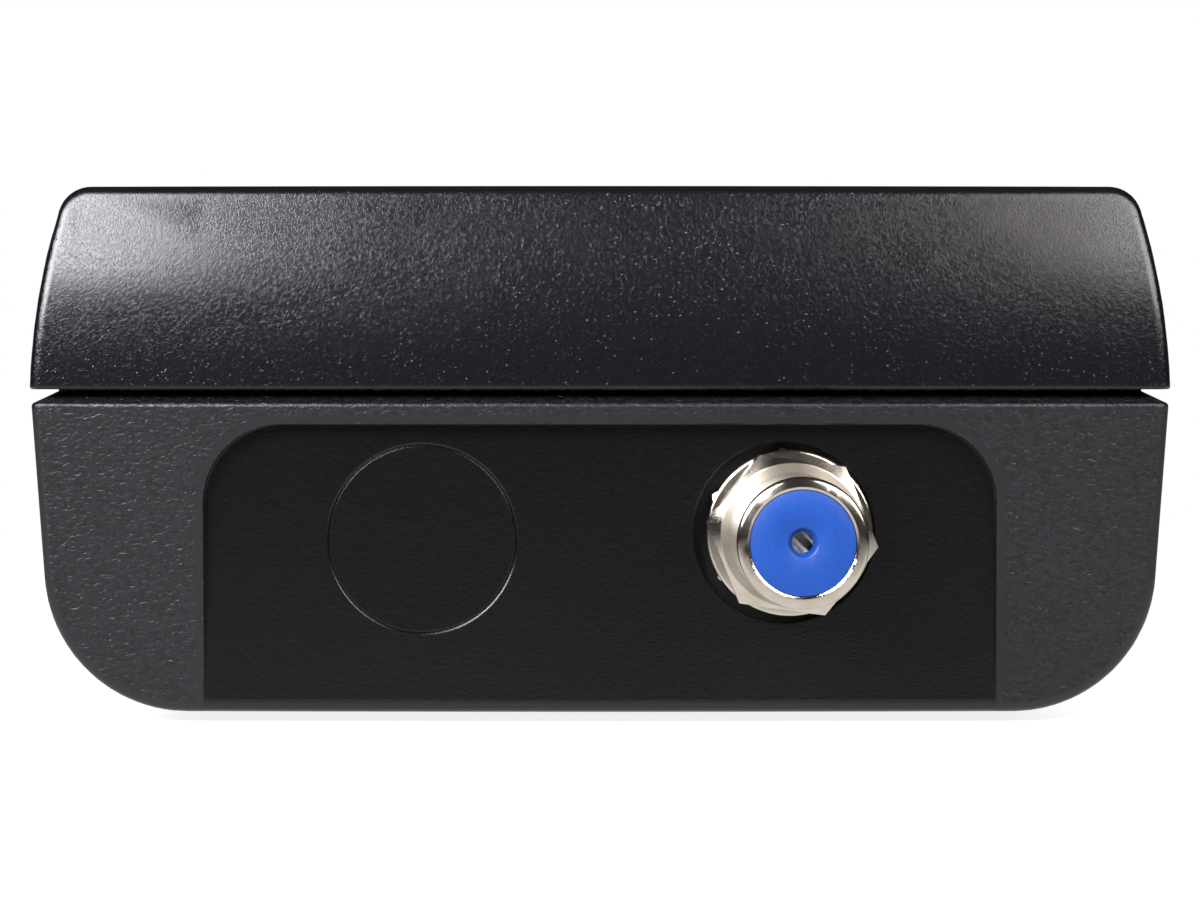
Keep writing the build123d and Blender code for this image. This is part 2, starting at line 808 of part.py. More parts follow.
# The screen's top is towards the connector, so the arrow along +X is the left one
arrow_names = ("left_key", "down_key", "right_key", "up_key")


# Every key's name, its outline and where it is
def key_layout():
    layout = []
    for i in range(soft_key_count):
        x = (i - (soft_key_count - 1) / 2) * soft_key_pitch
        layout.append((f"soft_key_{i + 1}", soft_key_face(), x, soft_key_y))
    layout.append(("ok_key", Circle(ok_key_radius), 0, nav_y))
    for i, name in enumerate(arrow_names):
        layout.append((name, arrow_face(360 / len(arrow_names) * i), 0, nav_y))
    layout.append(("menu_key", side_key_face(), side_key_x, near_key_y))
    layout.append(("exit_key", side_key_face(), -side_key_x, near_key_y))
    layout.append(("find_key", side_key_face(), side_key_x, far_key_y))
    layout.append(("power_key", side_key_face(), -side_key_x, far_key_y))
    return layout


# Where a key presses its dome
def key_centre(name, x, y):
    if name not in arrow_names:
        return x, y
    reach = (arrow_inner_radius + arrow_outer_radius) / 2
    turn = radians(360 / len(arrow_names) * arrow_names.index(name))
    return x + reach * cos(turn), y + reach * sin(turn)


def key(face, x, y):
    cap = extrude(face, key_top - flange_top)
    cap = fillet(cap.faces().sort_by(Axis.Z)[-1].edges(), key_edge_radius)
    flange = extrude(offset(face, key_flange), -key_flange_thickness)
    return Pos(x, y, flange_top) * (cap + flange)


def front_cover():
    outer = front_shell(0, cover_top, cover_corner_radius, cover_bottom)
    body = fillet(end_rims(outer, cover_bottom), cover_end_radius)
    lower = body.faces().sort_by(Axis.Z)[0]
    body = fillet(lower.outer_wire().edges(), cover_lip_radius)
    body -= front_shell(cover_wall, cover_ceiling, cover_corner_radius / 2, cover_bottom - overcut)
    body -= plan_slab(cover_half_width, cover_half_length, shoulder_run, cover_bottom - overcut, seal_top)
    for post in cover_posts():
        body += post
    for hole in cover_holes():
        body -= hole
    return body


# Posts for the case and keypad screws, and the rib round the speaker
def cover_posts():
    root = cover_ceiling + boss_root
    posts = [column(case_boss_radius, case_boss_meet, root, x, y) for x, y in screw_places]
    posts += [column(keypad_boss_radius, keypad_level, root, x, y) for x, y in keypad_boss_places]
    radius = speaker_radius + speaker_clearance
    low = cover_ceiling - speaker_rib_height
    rib = column(radius + speaker_rib, low, root, 0, speaker_y)
    return posts + [rib - column(radius, low, cover_ceiling, 0, speaker_y)]


def cover_holes():
    inside = cover_ceiling - overcut
    outside = cover_top + overcut
    holes = [overlay_sheet(overlay_clearance, overlay_bottom, outside)]
    holes.append(window_shape(window_clearance, window_seat, outside))
    holes.append(window_shape(-window_ledge, inside, outside))
    for x, y in screw_places:
        top = case_boss_meet + case_screw_bite + overcut
        holes.append(column(case_screw_radius + pilot_clearance, case_boss_meet - overcut, top, x, y))
    for x, y in keypad_boss_places:
        top = keypad_bottom + short_screw_length
        holes.append(column(board_screw_radius + pilot_clearance, keypad_level - overcut, top, x, y))
    for name, face, x, y in key_layout():
        holes.append(Pos(x, y, inside) * extrude(offset(face, key_clearance), outside - inside))
    holes += [column(pipe_radius + pipe_clearance, inside, outside, x, y) for x, y in pipe_places]
    holes += [column(grille_hole_radius, inside, outside, x, speaker_y + y) for x, y in grille_places()]
    return holes


# The window's outline between two levels, larger or smaller by a margin all round
def window_shape(margin, bottom, top):
    width = window_width + 2 * margin
    return rounded_block(width, window_length + 2 * margin, window_corner_radius, bottom, top, 0, window_y)


def overlay_sheet(margin, bottom, top):
    return rounded_block(
        2 * (overlay_half_width + margin), overlay_length + 2 * margin, overlay_corner_radius,
        bottom, top, 0, overlay_y,
    )


def front_overlay():
    inside = overlay_bottom - overcut
    outside = cover_top + overcut
    sheet = overlay_sheet(0, overlay_bottom, cover_top)
    sheet -= window_shape(window_clearance, inside, outside)
    for name, face, x, y in key_layout():
        sheet -= Pos(x, y, inside) * extrude(offset(face, overlay_key_clearance), outside - inside)
    for x, y in pipe_places:
        sheet -= column(pipe_radius + pipe_clearance, inside, outside, x, y)
    return sheet


def case_seal():
    return outline_band(tongue_inset, seal_width, tongue_top, seal_top)


def display_window():
    return window_shape(0, window_seat, cover_top)


# The display's outline between two levels, smaller by an inset all round
def display_shape(inset, bottom, top):
    width = display_width - 2 * inset
    length = display_length - 2 * inset
    return rounded_block(width, length, display_corner_radius, bottom, top, 0, window_y)


def display_gasket():
    gasket = display_shape(0, display_top, cover_ceiling)
    return gasket - display_shape(gasket_width, display_top, cover_ceiling)


def display_module():
    glass = display_shape(display_bezel, display_top - display_glass_step, display_top)
    return display_shape(0, display_bottom, display_top) - glass


def display_frame():
    ring = display_shape(0, frame_bottom, display_bottom)
    ring -= display_shape(frame_leg_side, frame_bottom, display_bottom)
    half = frame_leg_side / 2
    x = display_width / 2 - half
    y = display_length / 2 - frame_leg_inset - half
    for leg_x in (-x, x):
        for leg_y in (window_y - y, window_y + y):
            ring += block(leg_x - half, leg_x + half, leg_y - half, leg_y + half, board_level, frame_bottom)
    return ring


def display_ribbon():
    half = ribbon_width / 2
    near = ribbon_y - ribbon_thickness / 2
    low = board_level + ribbon_socket_height
    return block(-half, half, near, near + ribbon_thickness, low, display_bottom)


def keypad_board():
    half = keypad_half_width
    board = block(-half, half, keypad_front_y, keypad_back_y, keypad_bottom, keypad_level)
    for x, y in keypad_boss_places:
        board -= column(board_screw_radius + screw_hole_clearance, keypad_bottom, keypad_level, x, y)
    return board


def keypad_mat():
    half = keypad_half_width - mat_margin
    mat = block(-half, half, keypad_front_y + mat_margin, keypad_back_y - mat_margin, keypad_level, mat_top)
    for name, face, x, y in key_layout():
        centre = key_centre(name, x, y)
        mat += column(mat_bump_radius, mat_top, bump_top, *centre)
        mat -= column(dome_radius + dome_clearance, keypad_level, keypad_level + dome_height, *centre)
    for x, y in keypad_boss_places:
        mat -= column(keypad_boss_radius + mat_boss_clearance, keypad_level, mat_top, x, y)
    return mat


def dome_contacts():
    top = keypad_level + dome_height / 2
    centres = [key_centre(name, x, y) for name, face, x, y in key_layout()]
    return [column(dome_radius, keypad_level, top, *centre) for centre in centres]


def keypad_link():
    half = link_length / 2
    near = keypad_back_y - link_depth
    return block(link_x - half, link_x + half, near, keypad_back_y, board_level, keypad_bottom)


# A pan-head screw whose head's underside is at a level and which points down, or up when flipped
def screw(x, y, level, length, shank, head, height, flip=False):
    body = column(shank, -length, 0) + column(head, 0, height)
    body = fillet(body.faces().sort_by(Axis.Z)[-1].edges(), height * screw_round_share)
    reach = head * screw_slot_share
    half = screw_slot_width / 2
    arms = block(-reach, reach, -half, half, height - screw_slot_depth, height + overcut)
    body -= arms + Rot(0, 0, 90) * arms
    turn = Rot(180, 0, 0) if flip else Rot(0, 0, 0)
    return Pos(x, y, level) * turn * body


# The same short screw holds the keypad board up against the front cover and the socket board down
def short_screws():
    size = (short_screw_length, board_screw_radius, screw_head_radius, screw_head_height)
    upward = [screw(x, y, keypad_bottom, *size, flip=True) for x, y in keypad_boss_places]
    return upward + [screw(x, y, socket_level, *size) for x, y in socket_boss_places]


def board_screws():
    size = (board_screw_length, board_screw_radius, screw_head_radius, screw_head_height)
    return [screw(x, y, board_level, *size) for x, y in board_boss_places]


def case_screws():
    level = back + case_head_depth
    size = (case_boss_meet + case_screw_bite - level, case_screw_radius, case_head_radius, case_head_height)
    return [screw(x, y, level, *size, flip=True) for x, y in screw_places]


def door_screws():
    size = (door_screw_length, door_screw_radius, door_screw_head_radius, door_screw_head_height)
    level = back + door_screw_head_height
    return [screw(x, door_screw_y, level, *size, flip=True) for x in (-door_screw_x, door_screw_x)]


def battery_door():
    half = door_half_width - door_clearance
    door = block(-half, half, door_front + door_clearance, door_back - door_clearance, back, door_seat)
    door = fillet(door.edges().filter_by(Axis.Z), door_corner_radius)
    head_top = back + door_screw_head_height
    for x in (-door_screw_x, door_screw_x):
        door -= column(door_screw_head_radius + screw_hole_clearance, back, head_top, x, door_screw_y)
        door -= column(door_screw_radius + screw_hole_clearance, back, door_seat, x, door_screw_y)
    return door


def rubber_feet():
    feet = []
    for x, y in foot_places:
        foot = column(foot_radius, 0, back + foot_sunk, x, y)
        feet.append(fillet(foot.faces().sort_by(Axis.Z)[0].edges(), foot_height * foot_round_share))
    return feet


def battery_cells():
    level = cell_bottom + cell_radius
    cells = []
    for i in range(cell_count):
        x = (i - (cell_count - 1) / 2) * cell_pitch
        cell = rod(cell_radius, cell_y - cell_length / 2, cell_y + cell_length / 2, x, level)
        cells.append(fillet(cell.edges().filter_by(GeomType.CIRCLE), cell_edge_radius))
    return cells


# Welded nickel strips that join the cells at their ends
def battery_tabs():
    level = cell_bottom + cell_radius
    tabs = []
    for side, i in ((1, 0), (-1, 1)):
        end = cell_y + side * cell_length / 2
        x = (i - (cell_count - 1) / 2 + 0.5) * cell_pitch
        half = (cell_pitch + tab_width) / 2
        low, high = sorted((end, end + side * tab_thickness))
        tabs.append(block(x - half, x + half, low, high, level - tab_width / 2, level + tab_width / 2))
    return tabs


def battery_pad():
    half_width = bay_half_width - cell_pad_margin
    half_length = cell_length / 2 - cell_pad_margin
    top = door_seat + cell_pad_thickness
    return block(-half_width, half_width, cell_y - half_length, cell_y + half_length, door_seat, top)


def hex_bar(start, end, turn):
    face = Rot(0, 0, turn) * RegularPolygon(hex_flats / sqrt(3), 6)
    bar = extrude(face, end - start)
    return Pos(port_x, end, port_height) * Rot(90, 0, 0) * bar


# A cone-shaped trim that rounds off a nut's corners at its front
def corner_trim(start, end):
    corner = hex_flats / sqrt(3) + overcut
    face_radius = hex_flats / 2 - hex_face_step
    slope_end = start + hex_chamfer * (corner - face_radius) / (hex_flats / sqrt(3) - face_radius)
    points = [(0, start), (face_radius, start), (corner, slope_end), (corner, end), (0, end)]
    return Pos(port_x, 0, port_height) * revolve(make_face(Polyline(points, close=True)), Axis.Y)


# A thread drawn as rings, one for each turn
def ring_thread(start, end):
    turns = int((end - start) / thread_pitch)
    pitch = (end - start) / turns
    land = pitch * thread_land
    root_land = land / 4
    slope = (pitch - land - root_land) / 2
    points = [(0, start)]
    for i in range(turns):
        at = start + i * pitch
        points.append((thread_radius, at))
        points.append((thread_radius, at + land))
        points.append((thread_root, at + land + slope))
        points.append((thread_root, at + pitch - slope))
    points += [(thread_radius, end), (0, end)]
    profile = make_face(Polyline(points, close=True))
    return Pos(port_x, 0, port_height) * revolve(profile, Axis.Y)


# A round piece on the connector's axis
def port_rod(radius, start, end):
    return rod(radius, start, end, port_x, port_height)


def f_barrel():
    rim_end = barrel_tip + barrel_rim_length
    body = port_rod(thread_radius - barrel_rim_step, barrel_tip, rim_end)
    rim_edge = body.edges().filter_by(GeomType.CIRCLE).sort_by(Axis.Y)[0]
    body = fillet(rim_edge, barrel_rim_round)
    body += ring_thread(rim_end, hex_front)
    body += hex_bar(hex_front, hex_back, hex_turn) & corner_trim(hex_front, hex_back)
    body += ring_thread(hex_back, barrel_back)
    body -= port_rod(barrel_bore_radius, barrel_tip + rim_lip_length, barrel_back - rim_lip_length)
    return body - port_rod(barrel_bore_radius - rim_lip, barrel_tip - overcut, barrel_back + overcut)


# One of the two insulators, from its outer face towards the middle of the barrel
def insulator(face_y, forward):
    far = face_y + forward * insulator_length
    low, high = sorted((face_y, far))
    body = port_rod(barrel_bore_radius - insulator_clearance, low, high)
    body -= port_rod(insulator_hole_radius, low, high)
    sunk = face_y + forward * countersink_depth
    points = [(0, face_y), (countersink_radius, face_y), (insulator_hole_radius, sunk), (0, sunk)]
    body -= Pos(port_x, 0, port_height) * revolve(make_face(Polyline(points, close=True)), Axis.Y)
    low, high = sorted((face_y + forward * contact_front_gap, far))
    return body - port_rod(contact_radius + insulator_clearance, low, high)


def f_insulator_front():
    return insulator(barrel_tip + rim_lip_length, 1)


def f_insulator_rear():
    return insulator(barrel_back - rim_lip_length, -1)


# A split tube that grips the cable's centre wire from both ends
def f_contact():
    start = barrel_tip + rim_lip_length + contact_front_gap
    end = barrel_back - rim_lip_length - contact_front_gap
    tube = port_rod(contact_radius, start, end) - port_rod(contact_radius - contact_wall, start, end)
    slit = Rot(0, 45, 0) * Box(4 * contact_radius, insulator_length, contact_slit)
    for middle in (start + insulator_length / 2, end - insulator_length / 2):
        tube -= Pos(port_x, middle, port_height) * slit
    return tube


def flat_washer():
    end = hex_back + flat_washer_thickness
    washer = port_rod(flat_washer_radius, hex_back, end)
    return washer - port_rod(thread_radius + washer_clearance, hex_back, end)


# A ring with square teeth all round
def lock_washer():
    end = hex_back + flat_washer_thickness + lock_washer_thickness
    inner = lock_washer_radius - lock_tooth_length
    ring = Circle(inner)
    for i in range(lock_washer_teeth):
        tooth = Pos(inner, 0) * Rectangle(2 * lock_tooth_length, lock_tooth_width)
        ring += Rot(0, 0, 360 / lock_washer_teeth * i) * tooth
    ring &= Circle(lock_washer_radius)
    ring -= Circle(thread_radius + washer_clearance)
    return Pos(port_x, end, port_height) * Rot(90, 0, 0) * extrude(ring, lock_washer_thickness)


def jam_nut():
    start = can_front - jam_nut_length
    nut = hex_bar(start, can_front, jam_nut_turn) & corner_trim(start, can_front)
    return nut - port_rod(thread_radius + nut_clearance, start, can_front)


def tuner_can():
    wall = can_wall
    can = block(can_left, can_right, can_front, can_back, can_bottom, can_top)
    can -= block(
        can_left + wall, can_right - wall, can_front + wall, can_back - wall, can_bottom + wall, can_top
    )
    return can - port_rod(thread_radius + nut_clearance, can_front, can_front + wall)


def tuner_lid():
    lid = block(can_left, can_right, can_front, can_back, can_top, can_top + can_lid_wall)
    outer = can_wall + pilot_clearance
    lid += lid_skirt(outer) - lid_skirt(outer + can_lid_wall)
    lid -= port_rod(thread_radius + washer_clearance, can_front, can_front + 2 * overcut)
    for y in tuner_pin_rows:
        lid -= pin_shape(y, tuner_pin_slot)
    return lid


def lid_skirt(inset):
    low = can_top - can_lid_skirt
    return block(can_left + inset, can_right - inset, can_front + inset, can_back - inset, low, can_top)


def pin_shape(y, side):
    half = side / 2
    low = can_top - tuner_pin_inset
    return block(tuner_pin_x - half, tuner_pin_x + half, y - half, y + half, low, board_bottom)


def tuner_pins():
    half = tuner_pin_strip / 2
    near = tuner_pin_rows[0] - tuner_pin_pitch / 2
    far = tuner_pin_rows[-1] + tuner_pin_pitch / 2
    low = can_top + can_lid_wall
    strip = block(tuner_pin_x - half, tuner_pin_x + half, near, far, low, low + tuner_strip_height)
    for y in tuner_pin_rows:
        strip += pin_shape(y, tuner_pin_side)
    return strip


def main_board():
    board = Rectangle(2 * board_half_width, 2 * board_half_length)
    board += Rectangle(2 * board_tongue_half_width, 2 * board_tongue_half_length)
    body = Pos(0, 0, board_bottom) * extrude(board, board_thickness)
    for x, y in board_boss_places:
        body -= column(board_screw_radius + screw_hole_clearance, board_bottom, board_level, x, y)
    return body


def main_chip():
    half = chip_side / 2
    chip = block(-half, half, chip_y - half, chip_y + half, board_level, board_level + chip_height)
    return chamfer(chip.faces().sort_by(Axis.Z)[-1].edges(), chip_chamfer)


def memory_chips():
    near = memory_y - memory_length / 2
    far = memory_y + memory_length / 2
    top = board_level + memory_height
    middles = (-memory_spacing / 2, memory_spacing / 2)
    return [block(x - memory_width / 2, x + memory_width / 2, near, far, board_level, top) for x in middles]


def capacitors():
    cans = []
    for i in range(capacitor_count):
        x = capacitor_x + i * capacitor_spacing
        can = column(capacitor_radius, board_bottom - capacitor_height, board_bottom, x, capacitor_y)
        cans.append(fillet(can.faces().sort_by(Axis.Z)[0].edges(), capacitor_edge_radius))
    return cans


def inductors():
    coils = []
    half = inductor_side / 2
    low = board_bottom - inductor_height
    for i in range(inductor_count):
        x = (i - (inductor_count - 1) / 2) * inductor_spacing
        coil = block(x - half, x + half, inductor_y - half, inductor_y + half, low, board_bottom)
        coils.append(chamfer(coil.edges().filter_by(Axis.Z), inductor_chamfer))
    return coils


def light_pipes():
    pipes = []
    for x, y in pipe_places:
        pipe = column(pipe_radius, pipe_bottom, cover_top + pipe_proud, x, y)
        pipe = fillet(pipe.faces().sort_by(Axis.Z)[-1].edges(), pipe_end_radius)
        pipe += column(pipe_radius + pipe_collar, cover_ceiling - pipe_collar_thickness, cover_ceiling, x, y)
        pipes.append(pipe)
    return pipes


def status_leds():
    near = led_y - led_width / 2
    far = led_y + led_width / 2
    top = board_level + led_height
    half = led_length / 2
    return [block(x - half, x + half, near, far, board_level, top) for x, y in pipe_places]


def speaker():
    flange_low = speaker_top - speaker_flange
    cone = speaker_top - speaker_flange / 2
    body = column(speaker_radius, flange_low, speaker_top, 0, speaker_y)
    body -= column(speaker_radius - speaker_gasket_width, cone, speaker_top, 0, speaker_y)
    body += column(speaker_magnet_radius, speaker_top - speaker_thickness, flange_low, 0, speaker_y)
    return body + column(speaker_magnet_radius / 2, cone, speaker_top - speaker_flange / 4, 0, speaker_y)


def speaker_gasket():
    ring = column(speaker_radius, speaker_top, cover_ceiling, 0, speaker_y)
    return ring - column(speaker_radius - speaker_gasket_width, speaker_top, cover_ceiling, 0, speaker_y)


def socket_board():
    half = socket_board_width / 2
    board = block(-half, half, socket_board_front, socket_board_back, socket_board_bottom, socket_level)
    for x, y in socket_boss_places:
        board -= column(board_screw_radius + screw_hole_clearance, socket_board_bottom, socket_level, x, y)
    return board


def dc_jack():
    near = socket_board_back - jack_length
    half = jack_width / 2
    top = socket_level + jack_height
    body = block(jack_x - half, jack_x + half, near, socket_board_back, socket_level, top)
    upper = [edge for edge in body.edges().filter_by(Axis.Y) if edge.center().Z > jack_level]
    body = fillet(upper, jack_edge_radius)
    bottom = socket_board_back - jack_bore_depth
    body -= rod(jack_bore_radius, bottom, socket_board_back, jack_x, jack_level)
    return body + rod(jack_pin_radius, bottom, socket_board_back - overcut, jack_x, jack_level)


def usb_socket():
    near = socket_board_back - usb_length
    half = usb_width / 2
    inner = half - usb_wall
    tongue = half - usb_tongue_margin
    top = socket_level + usb_height
    body = block(usb_x - half, usb_x + half, near, socket_board_back, socket_level, top)
    body -= block(
        usb_x - inner, usb_x + inner, near + overcut, socket_board_back,
        socket_level + usb_wall, top - usb_wall,
    )
    return body + block(
        usb_x - tongue, usb_x + tongue, near, socket_board_back - overcut,
        usb_level - usb_tongue / 2, usb_level + usb_tongue / 2,
    )


def av_jack():
    near = socket_board_back - av_length
    half = av_width / 2
    body = block(av_x - half, av_x + half, near, socket_board_back, socket_level, socket_level + av_height)
    return body - rod(av_bore_radius, socket_board_back - av_bore_depth, socket_board_back, av_x, av_level)


def board_ribbon():
    half = flex_width / 2
    low = socket_level + flex_plug_height
    high = board_bottom - flex_plug_height
    return block(-half, half, flex_y - flex_thickness / 2, flex_y + flex_thickness / 2, low, high)


# The display ribbon's socket on the main board, and the two plugs of the ribbon between the boards
def ribbon_plugs():
    half = flex_width / 2 + flex_plug_margin
    depth = flex_plug_depth / 2
    low = block(-half, half, flex_y - depth, flex_y + depth, socket_level, socket_level + flex_plug_height)
    high = block(-half, half, flex_y - depth, flex_y + depth, board_bottom - flex_plug_height, board_bottom)
    half = ribbon_width / 2 + ribbon_socket_margin
    depth = ribbon_socket_length / 2
    top = board_level + ribbon_socket_height
    display = block(-half, half, ribbon_y - depth, ribbon_y + depth, board_level, top)
    return [low, high, display]


def save(name, shape):
    solids = shape if isinstance(shape, list) else [shape]
    placed = [Pos(0, middle_shift, 0) * solid for solid in solids]
    export_step(placed[0] if len(placed) == 1 else Compound(children=placed), f"parts/{name}.step")


pieces = [
    front_cover, rear_cover, case_seal, front_overlay, display_window, display_gasket, display_module,
    display_frame, display_ribbon, ribbon_plugs, keypad_board, keypad_mat, dome_contacts, keypad_link,
    short_screws, main_board, board_screws, main_chip, memory_chips, capacitors, inductors, light_pipes,
    status_leds, speaker, speaker_gasket, battery_cells, battery_tabs, battery_pad, battery_door, door_screws,
    rubber_feet, case_screws, f_barrel, f_insulator_front, f_insulator_rear, f_contact, flat_washer,
    lock_washer, jam_nut, tuner_can, tuner_lid, tuner_pins, socket_board, dc_jack, usb_socket, av_jack,
    board_ribbon,
]

os.makedirs("parts", exist_ok=True)
for piece in pieces:
    save(piece.__name__, piece())
for name, face, x, y in key_layout():
    save(name, key(face, x, y))
print("origin moved along Y by", round(middle_shift, 3))
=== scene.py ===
import json
import math
import bpy
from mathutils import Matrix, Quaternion, Vector


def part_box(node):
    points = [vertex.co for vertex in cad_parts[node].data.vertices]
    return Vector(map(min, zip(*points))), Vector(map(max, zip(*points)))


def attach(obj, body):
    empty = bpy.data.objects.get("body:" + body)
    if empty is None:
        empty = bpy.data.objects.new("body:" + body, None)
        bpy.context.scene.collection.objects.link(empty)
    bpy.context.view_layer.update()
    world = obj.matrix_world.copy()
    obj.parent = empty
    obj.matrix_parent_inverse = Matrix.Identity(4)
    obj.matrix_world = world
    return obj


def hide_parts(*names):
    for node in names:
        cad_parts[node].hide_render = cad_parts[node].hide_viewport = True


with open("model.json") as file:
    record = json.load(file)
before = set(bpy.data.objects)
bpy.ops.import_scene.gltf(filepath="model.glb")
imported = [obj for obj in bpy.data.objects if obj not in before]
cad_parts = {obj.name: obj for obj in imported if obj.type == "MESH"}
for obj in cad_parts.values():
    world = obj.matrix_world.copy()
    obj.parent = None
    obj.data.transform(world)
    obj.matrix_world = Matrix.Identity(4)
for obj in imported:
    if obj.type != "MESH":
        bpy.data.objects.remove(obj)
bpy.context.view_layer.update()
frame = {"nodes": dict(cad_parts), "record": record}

mm = 0.001
weld = 0.0005 * mm  # points closer than this become one
nodes = frame["nodes"]
scene = bpy.context.scene
print("frame loaded,", len(nodes), "nodes")


def middle(node):
    low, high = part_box(node)
    return (Vector(low) + Vector(high)) / 2


# Materials

cloudRange = (0.35, 0.65)  # noise from its darker half to its lighter one
noiseRange = (0.3, 0.7)  # nearly all of what noise gives
bevelSamples = 4


def linear(hexColour):  # sRGB hex to the linear values that the shader takes
    parts = [int(hexColour[i:i + 2], 16) / 255 for i in (1, 3, 5)]
    return [p / 12.92 if p <= 0.04045 else ((p + 0.055) / 1.055) ** 2.4 for p in parts] + [1.0]


def shades(colours):  # the two colour inputs of a mix node
    return {6: linear(colours[0]), 7: linear(colours[1])}


def grains(place, width, **more):  # a texture's inputs, at the scale where one grain is this many mm wide
    return {"Vector": place, "Scale": 1 / (width * mm), **more}


def add(tree, kind, inputs=(), **options):  # one node; its inputs, in order or by key, are values or nodes
    node = tree.nodes.new("ShaderNode" + kind)
    for option, value in options.items():
        setattr(node, option, value)
    for key, value in inputs.items() if isinstance(inputs, dict) else enumerate(inputs):
        if isinstance(value, bpy.types.Node):
            value = next(output for output in value.outputs if output.enabled)
        if isinstance(value, bpy.types.NodeSocket):
            tree.links.new(value, node.inputs[key])
        else:
            node.inputs[key].default_value = value
    return node


def startMaterial(name):
    material = bpy.data.materials.new(name)
    material.use_nodes = True
    tree = material.node_tree
    tree.nodes.clear()
    return material, tree, add(tree, "TexCoord").outputs["Object"]


def finishMaterial(tree, inputs):
    shader = add(tree, "BsdfPrincipled", inputs)
    add(tree, "OutputMaterial", {"Surface": shader})


def mottled(tree, place, width, detail, colours):  # clouds this many mm wide, and two shades that follow them
    cloud = add(tree, "TexNoise", grains(place, width, Detail=detail))
    share = add(tree, "MapRange", [cloud, *cloudRange])
    return cloud, add(tree, "Mix", {0: share, **shades(colours)}, data_type="RGBA")


# Small and inner parts: two shades, gloss, and the grain that the making leaves, its width and height in mm
finishes = {
    # extruded EPDM cord, matte with a faint bloom
    "sealRubber": dict(colours=("#171717", "#232322"), rough=0.72, ior=1.52, grain=0.3, height=0.01),
    # closed cell foam, open pores where it is cut
    "foamRubber": dict(colours=("#1c1c1d", "#303031"), rough=0.9, ior=1.5, grain=0.35, height=0.06),
    # moulded nylon, satin, slightly milky
    "frameNylon": dict(colours=("#cfccc2", "#dad8cf"), rough=0.45, ior=1.53, grain=0.4, height=0.006),
    "connectorNylon": dict(colours=("#d8d2bf", "#e2dccb"), rough=0.5, ior=1.53, grain=0.3, height=0.005),
    "blackNylon": dict(colours=("#161617", "#202021"), rough=0.42, ior=1.53, grain=0.3, height=0.006),
    # moulded silicone, matte and soft looking
    "greySilicone": dict(colours=("#6d7074", "#7b7e82"), rough=0.62, ior=1.41, grain=0.5, height=0.01),
    # pressed spring steel, bright with faint rolling lines
    "springSteel": dict(colours=("#b9b9b6", "#cccbc7"), rough=0.24, metallic=1.0, grain=0.15, height=0.003,
                        stretch=(1, 14, 1)),
    # polyimide film, glossy amber
    "amberRibbon": dict(colours=("#a45a14", "#c0701d"), rough=0.22, ior=1.65, grain=0.9, height=0.003,
                        stretch=(1, 0.2, 1)),
    # zinc plated steel, satin
    "screwSteel": dict(colours=("#8d8f92", "#a6a8aa"), rough=0.34, metallic=1.0, grain=0.2, height=0.006),
    # moulded epoxy with a fine blasted face
    "chipEpoxy": dict(colours=("#1b1b1c", "#262627"), rough=0.55, ior=1.55, grain=0.12, height=0.006),
    # drawn aluminium can, satin with lines along the draw
    "aluminiumCan": dict(colours=("#c3c4c6", "#d2d3d4"), rough=0.3, metallic=1.0, grain=0.2, height=0.004,
                         stretch=(1, 1, 0.1)),
    # sintered ferrite, matte dark grey with fine pits
    "ferrite": dict(colours=("#2f3033", "#3b3c3f"), rough=0.7, ior=2.0, grain=0.2, height=0.015),
    # moulded LED body, milky
    "ledBody": dict(colours=("#e4e1cf", "#efecdc"), rough=0.3, ior=1.53, grain=0.3, height=0.003),
    # pressed steel basket and magnet, satin
    "speakerSteel": dict(colours=("#5c5d60", "#6c6d70"), rough=0.38, metallic=1.0, grain=0.25, height=0.006),
    # heat shrunk film round each cell, glossy blue
    "cellWrap": dict(colours=("#1d4a86", "#245596"), rough=0.25, ior=1.5, grain=1.4, height=0.02),
    # rolled nickel strip, satin with lines along the roll
    "nickelStrip": dict(colours=("#b6b2a6", "#c8c4b8"), rough=0.32, metallic=1.0, grain=0.2, height=0.004,
                        stretch=(0.1, 1, 1)),
    # folded tinplate, satin with rolling lines
    "tinplate": dict(colours=("#aeaeaa", "#c2c2bd"), rough=0.3, metallic=1.0, grain=0.25, height=0.004,
                     stretch=(1, 0.08, 1)),
    # folded steel with a blackened finish, dull; its black is painted shade, for the darkness seen through
    # the gap round the connector
    "blackenedSteel": dict(colours=("#0f0f10", "#171718"), rough=0.5, metallic=0.4, grain=0.25, height=0.006),
    # moulded rubber feet, matte
    "footRubber": dict(colours=("#1a1a1a", "#262625"), rough=0.7, ior=1.52, grain=0.25, height=0.012),
    # screen printed legends, white and grey, satin ink
    "legendInk": dict(colours=("#d6d8d8", "#e1e3e3"), rough=0.5, ior=1.5, grain=0.2, height=0.002),
    "greyInk": dict(colours=("#6a6d70", "#74777a"), rough=0.5, ior=1.5, grain=0.2, height=0.002),
}
finishLook = {"edge": 0.12, "cloudGrains": 12, "bump": 0.5, "uneven": 0.06}


def plainFinish(name, look):
    material, tree, place = startMaterial(name)
    if "stretch" in look:
        place = add(tree, "Mapping", {"Vector": place, "Scale": look["stretch"]})
    grain = add(tree, "TexNoise", grains(place, look["grain"], Detail=3.0))
    cloud, colour = mottled(tree, place, look["grain"] * finishLook["cloudGrains"], 2.0, look["colours"])
    edge = add(tree, "Bevel", {"Radius": finishLook["edge"] * mm}, samples=bevelSamples)
    rough, uneven = look["rough"], finishLook["uneven"]
    inputs = {
        "Base Color": colour,
        "Metallic": look.get("metallic", 0.0),
        "Roughness": add(tree, "MapRange", [cloud, *noiseRange, rough - uneven, rough + uneven]),
        "Normal": add(tree, "Bump", {"Strength": finishLook["bump"], "Distance": look["height"] * mm,
                                     "Height": grain, "Normal": edge}),
    }
    if "ior" in look:
        inputs["IOR"] = look["ior"]
    finishMaterial(tree, inputs)
    return material


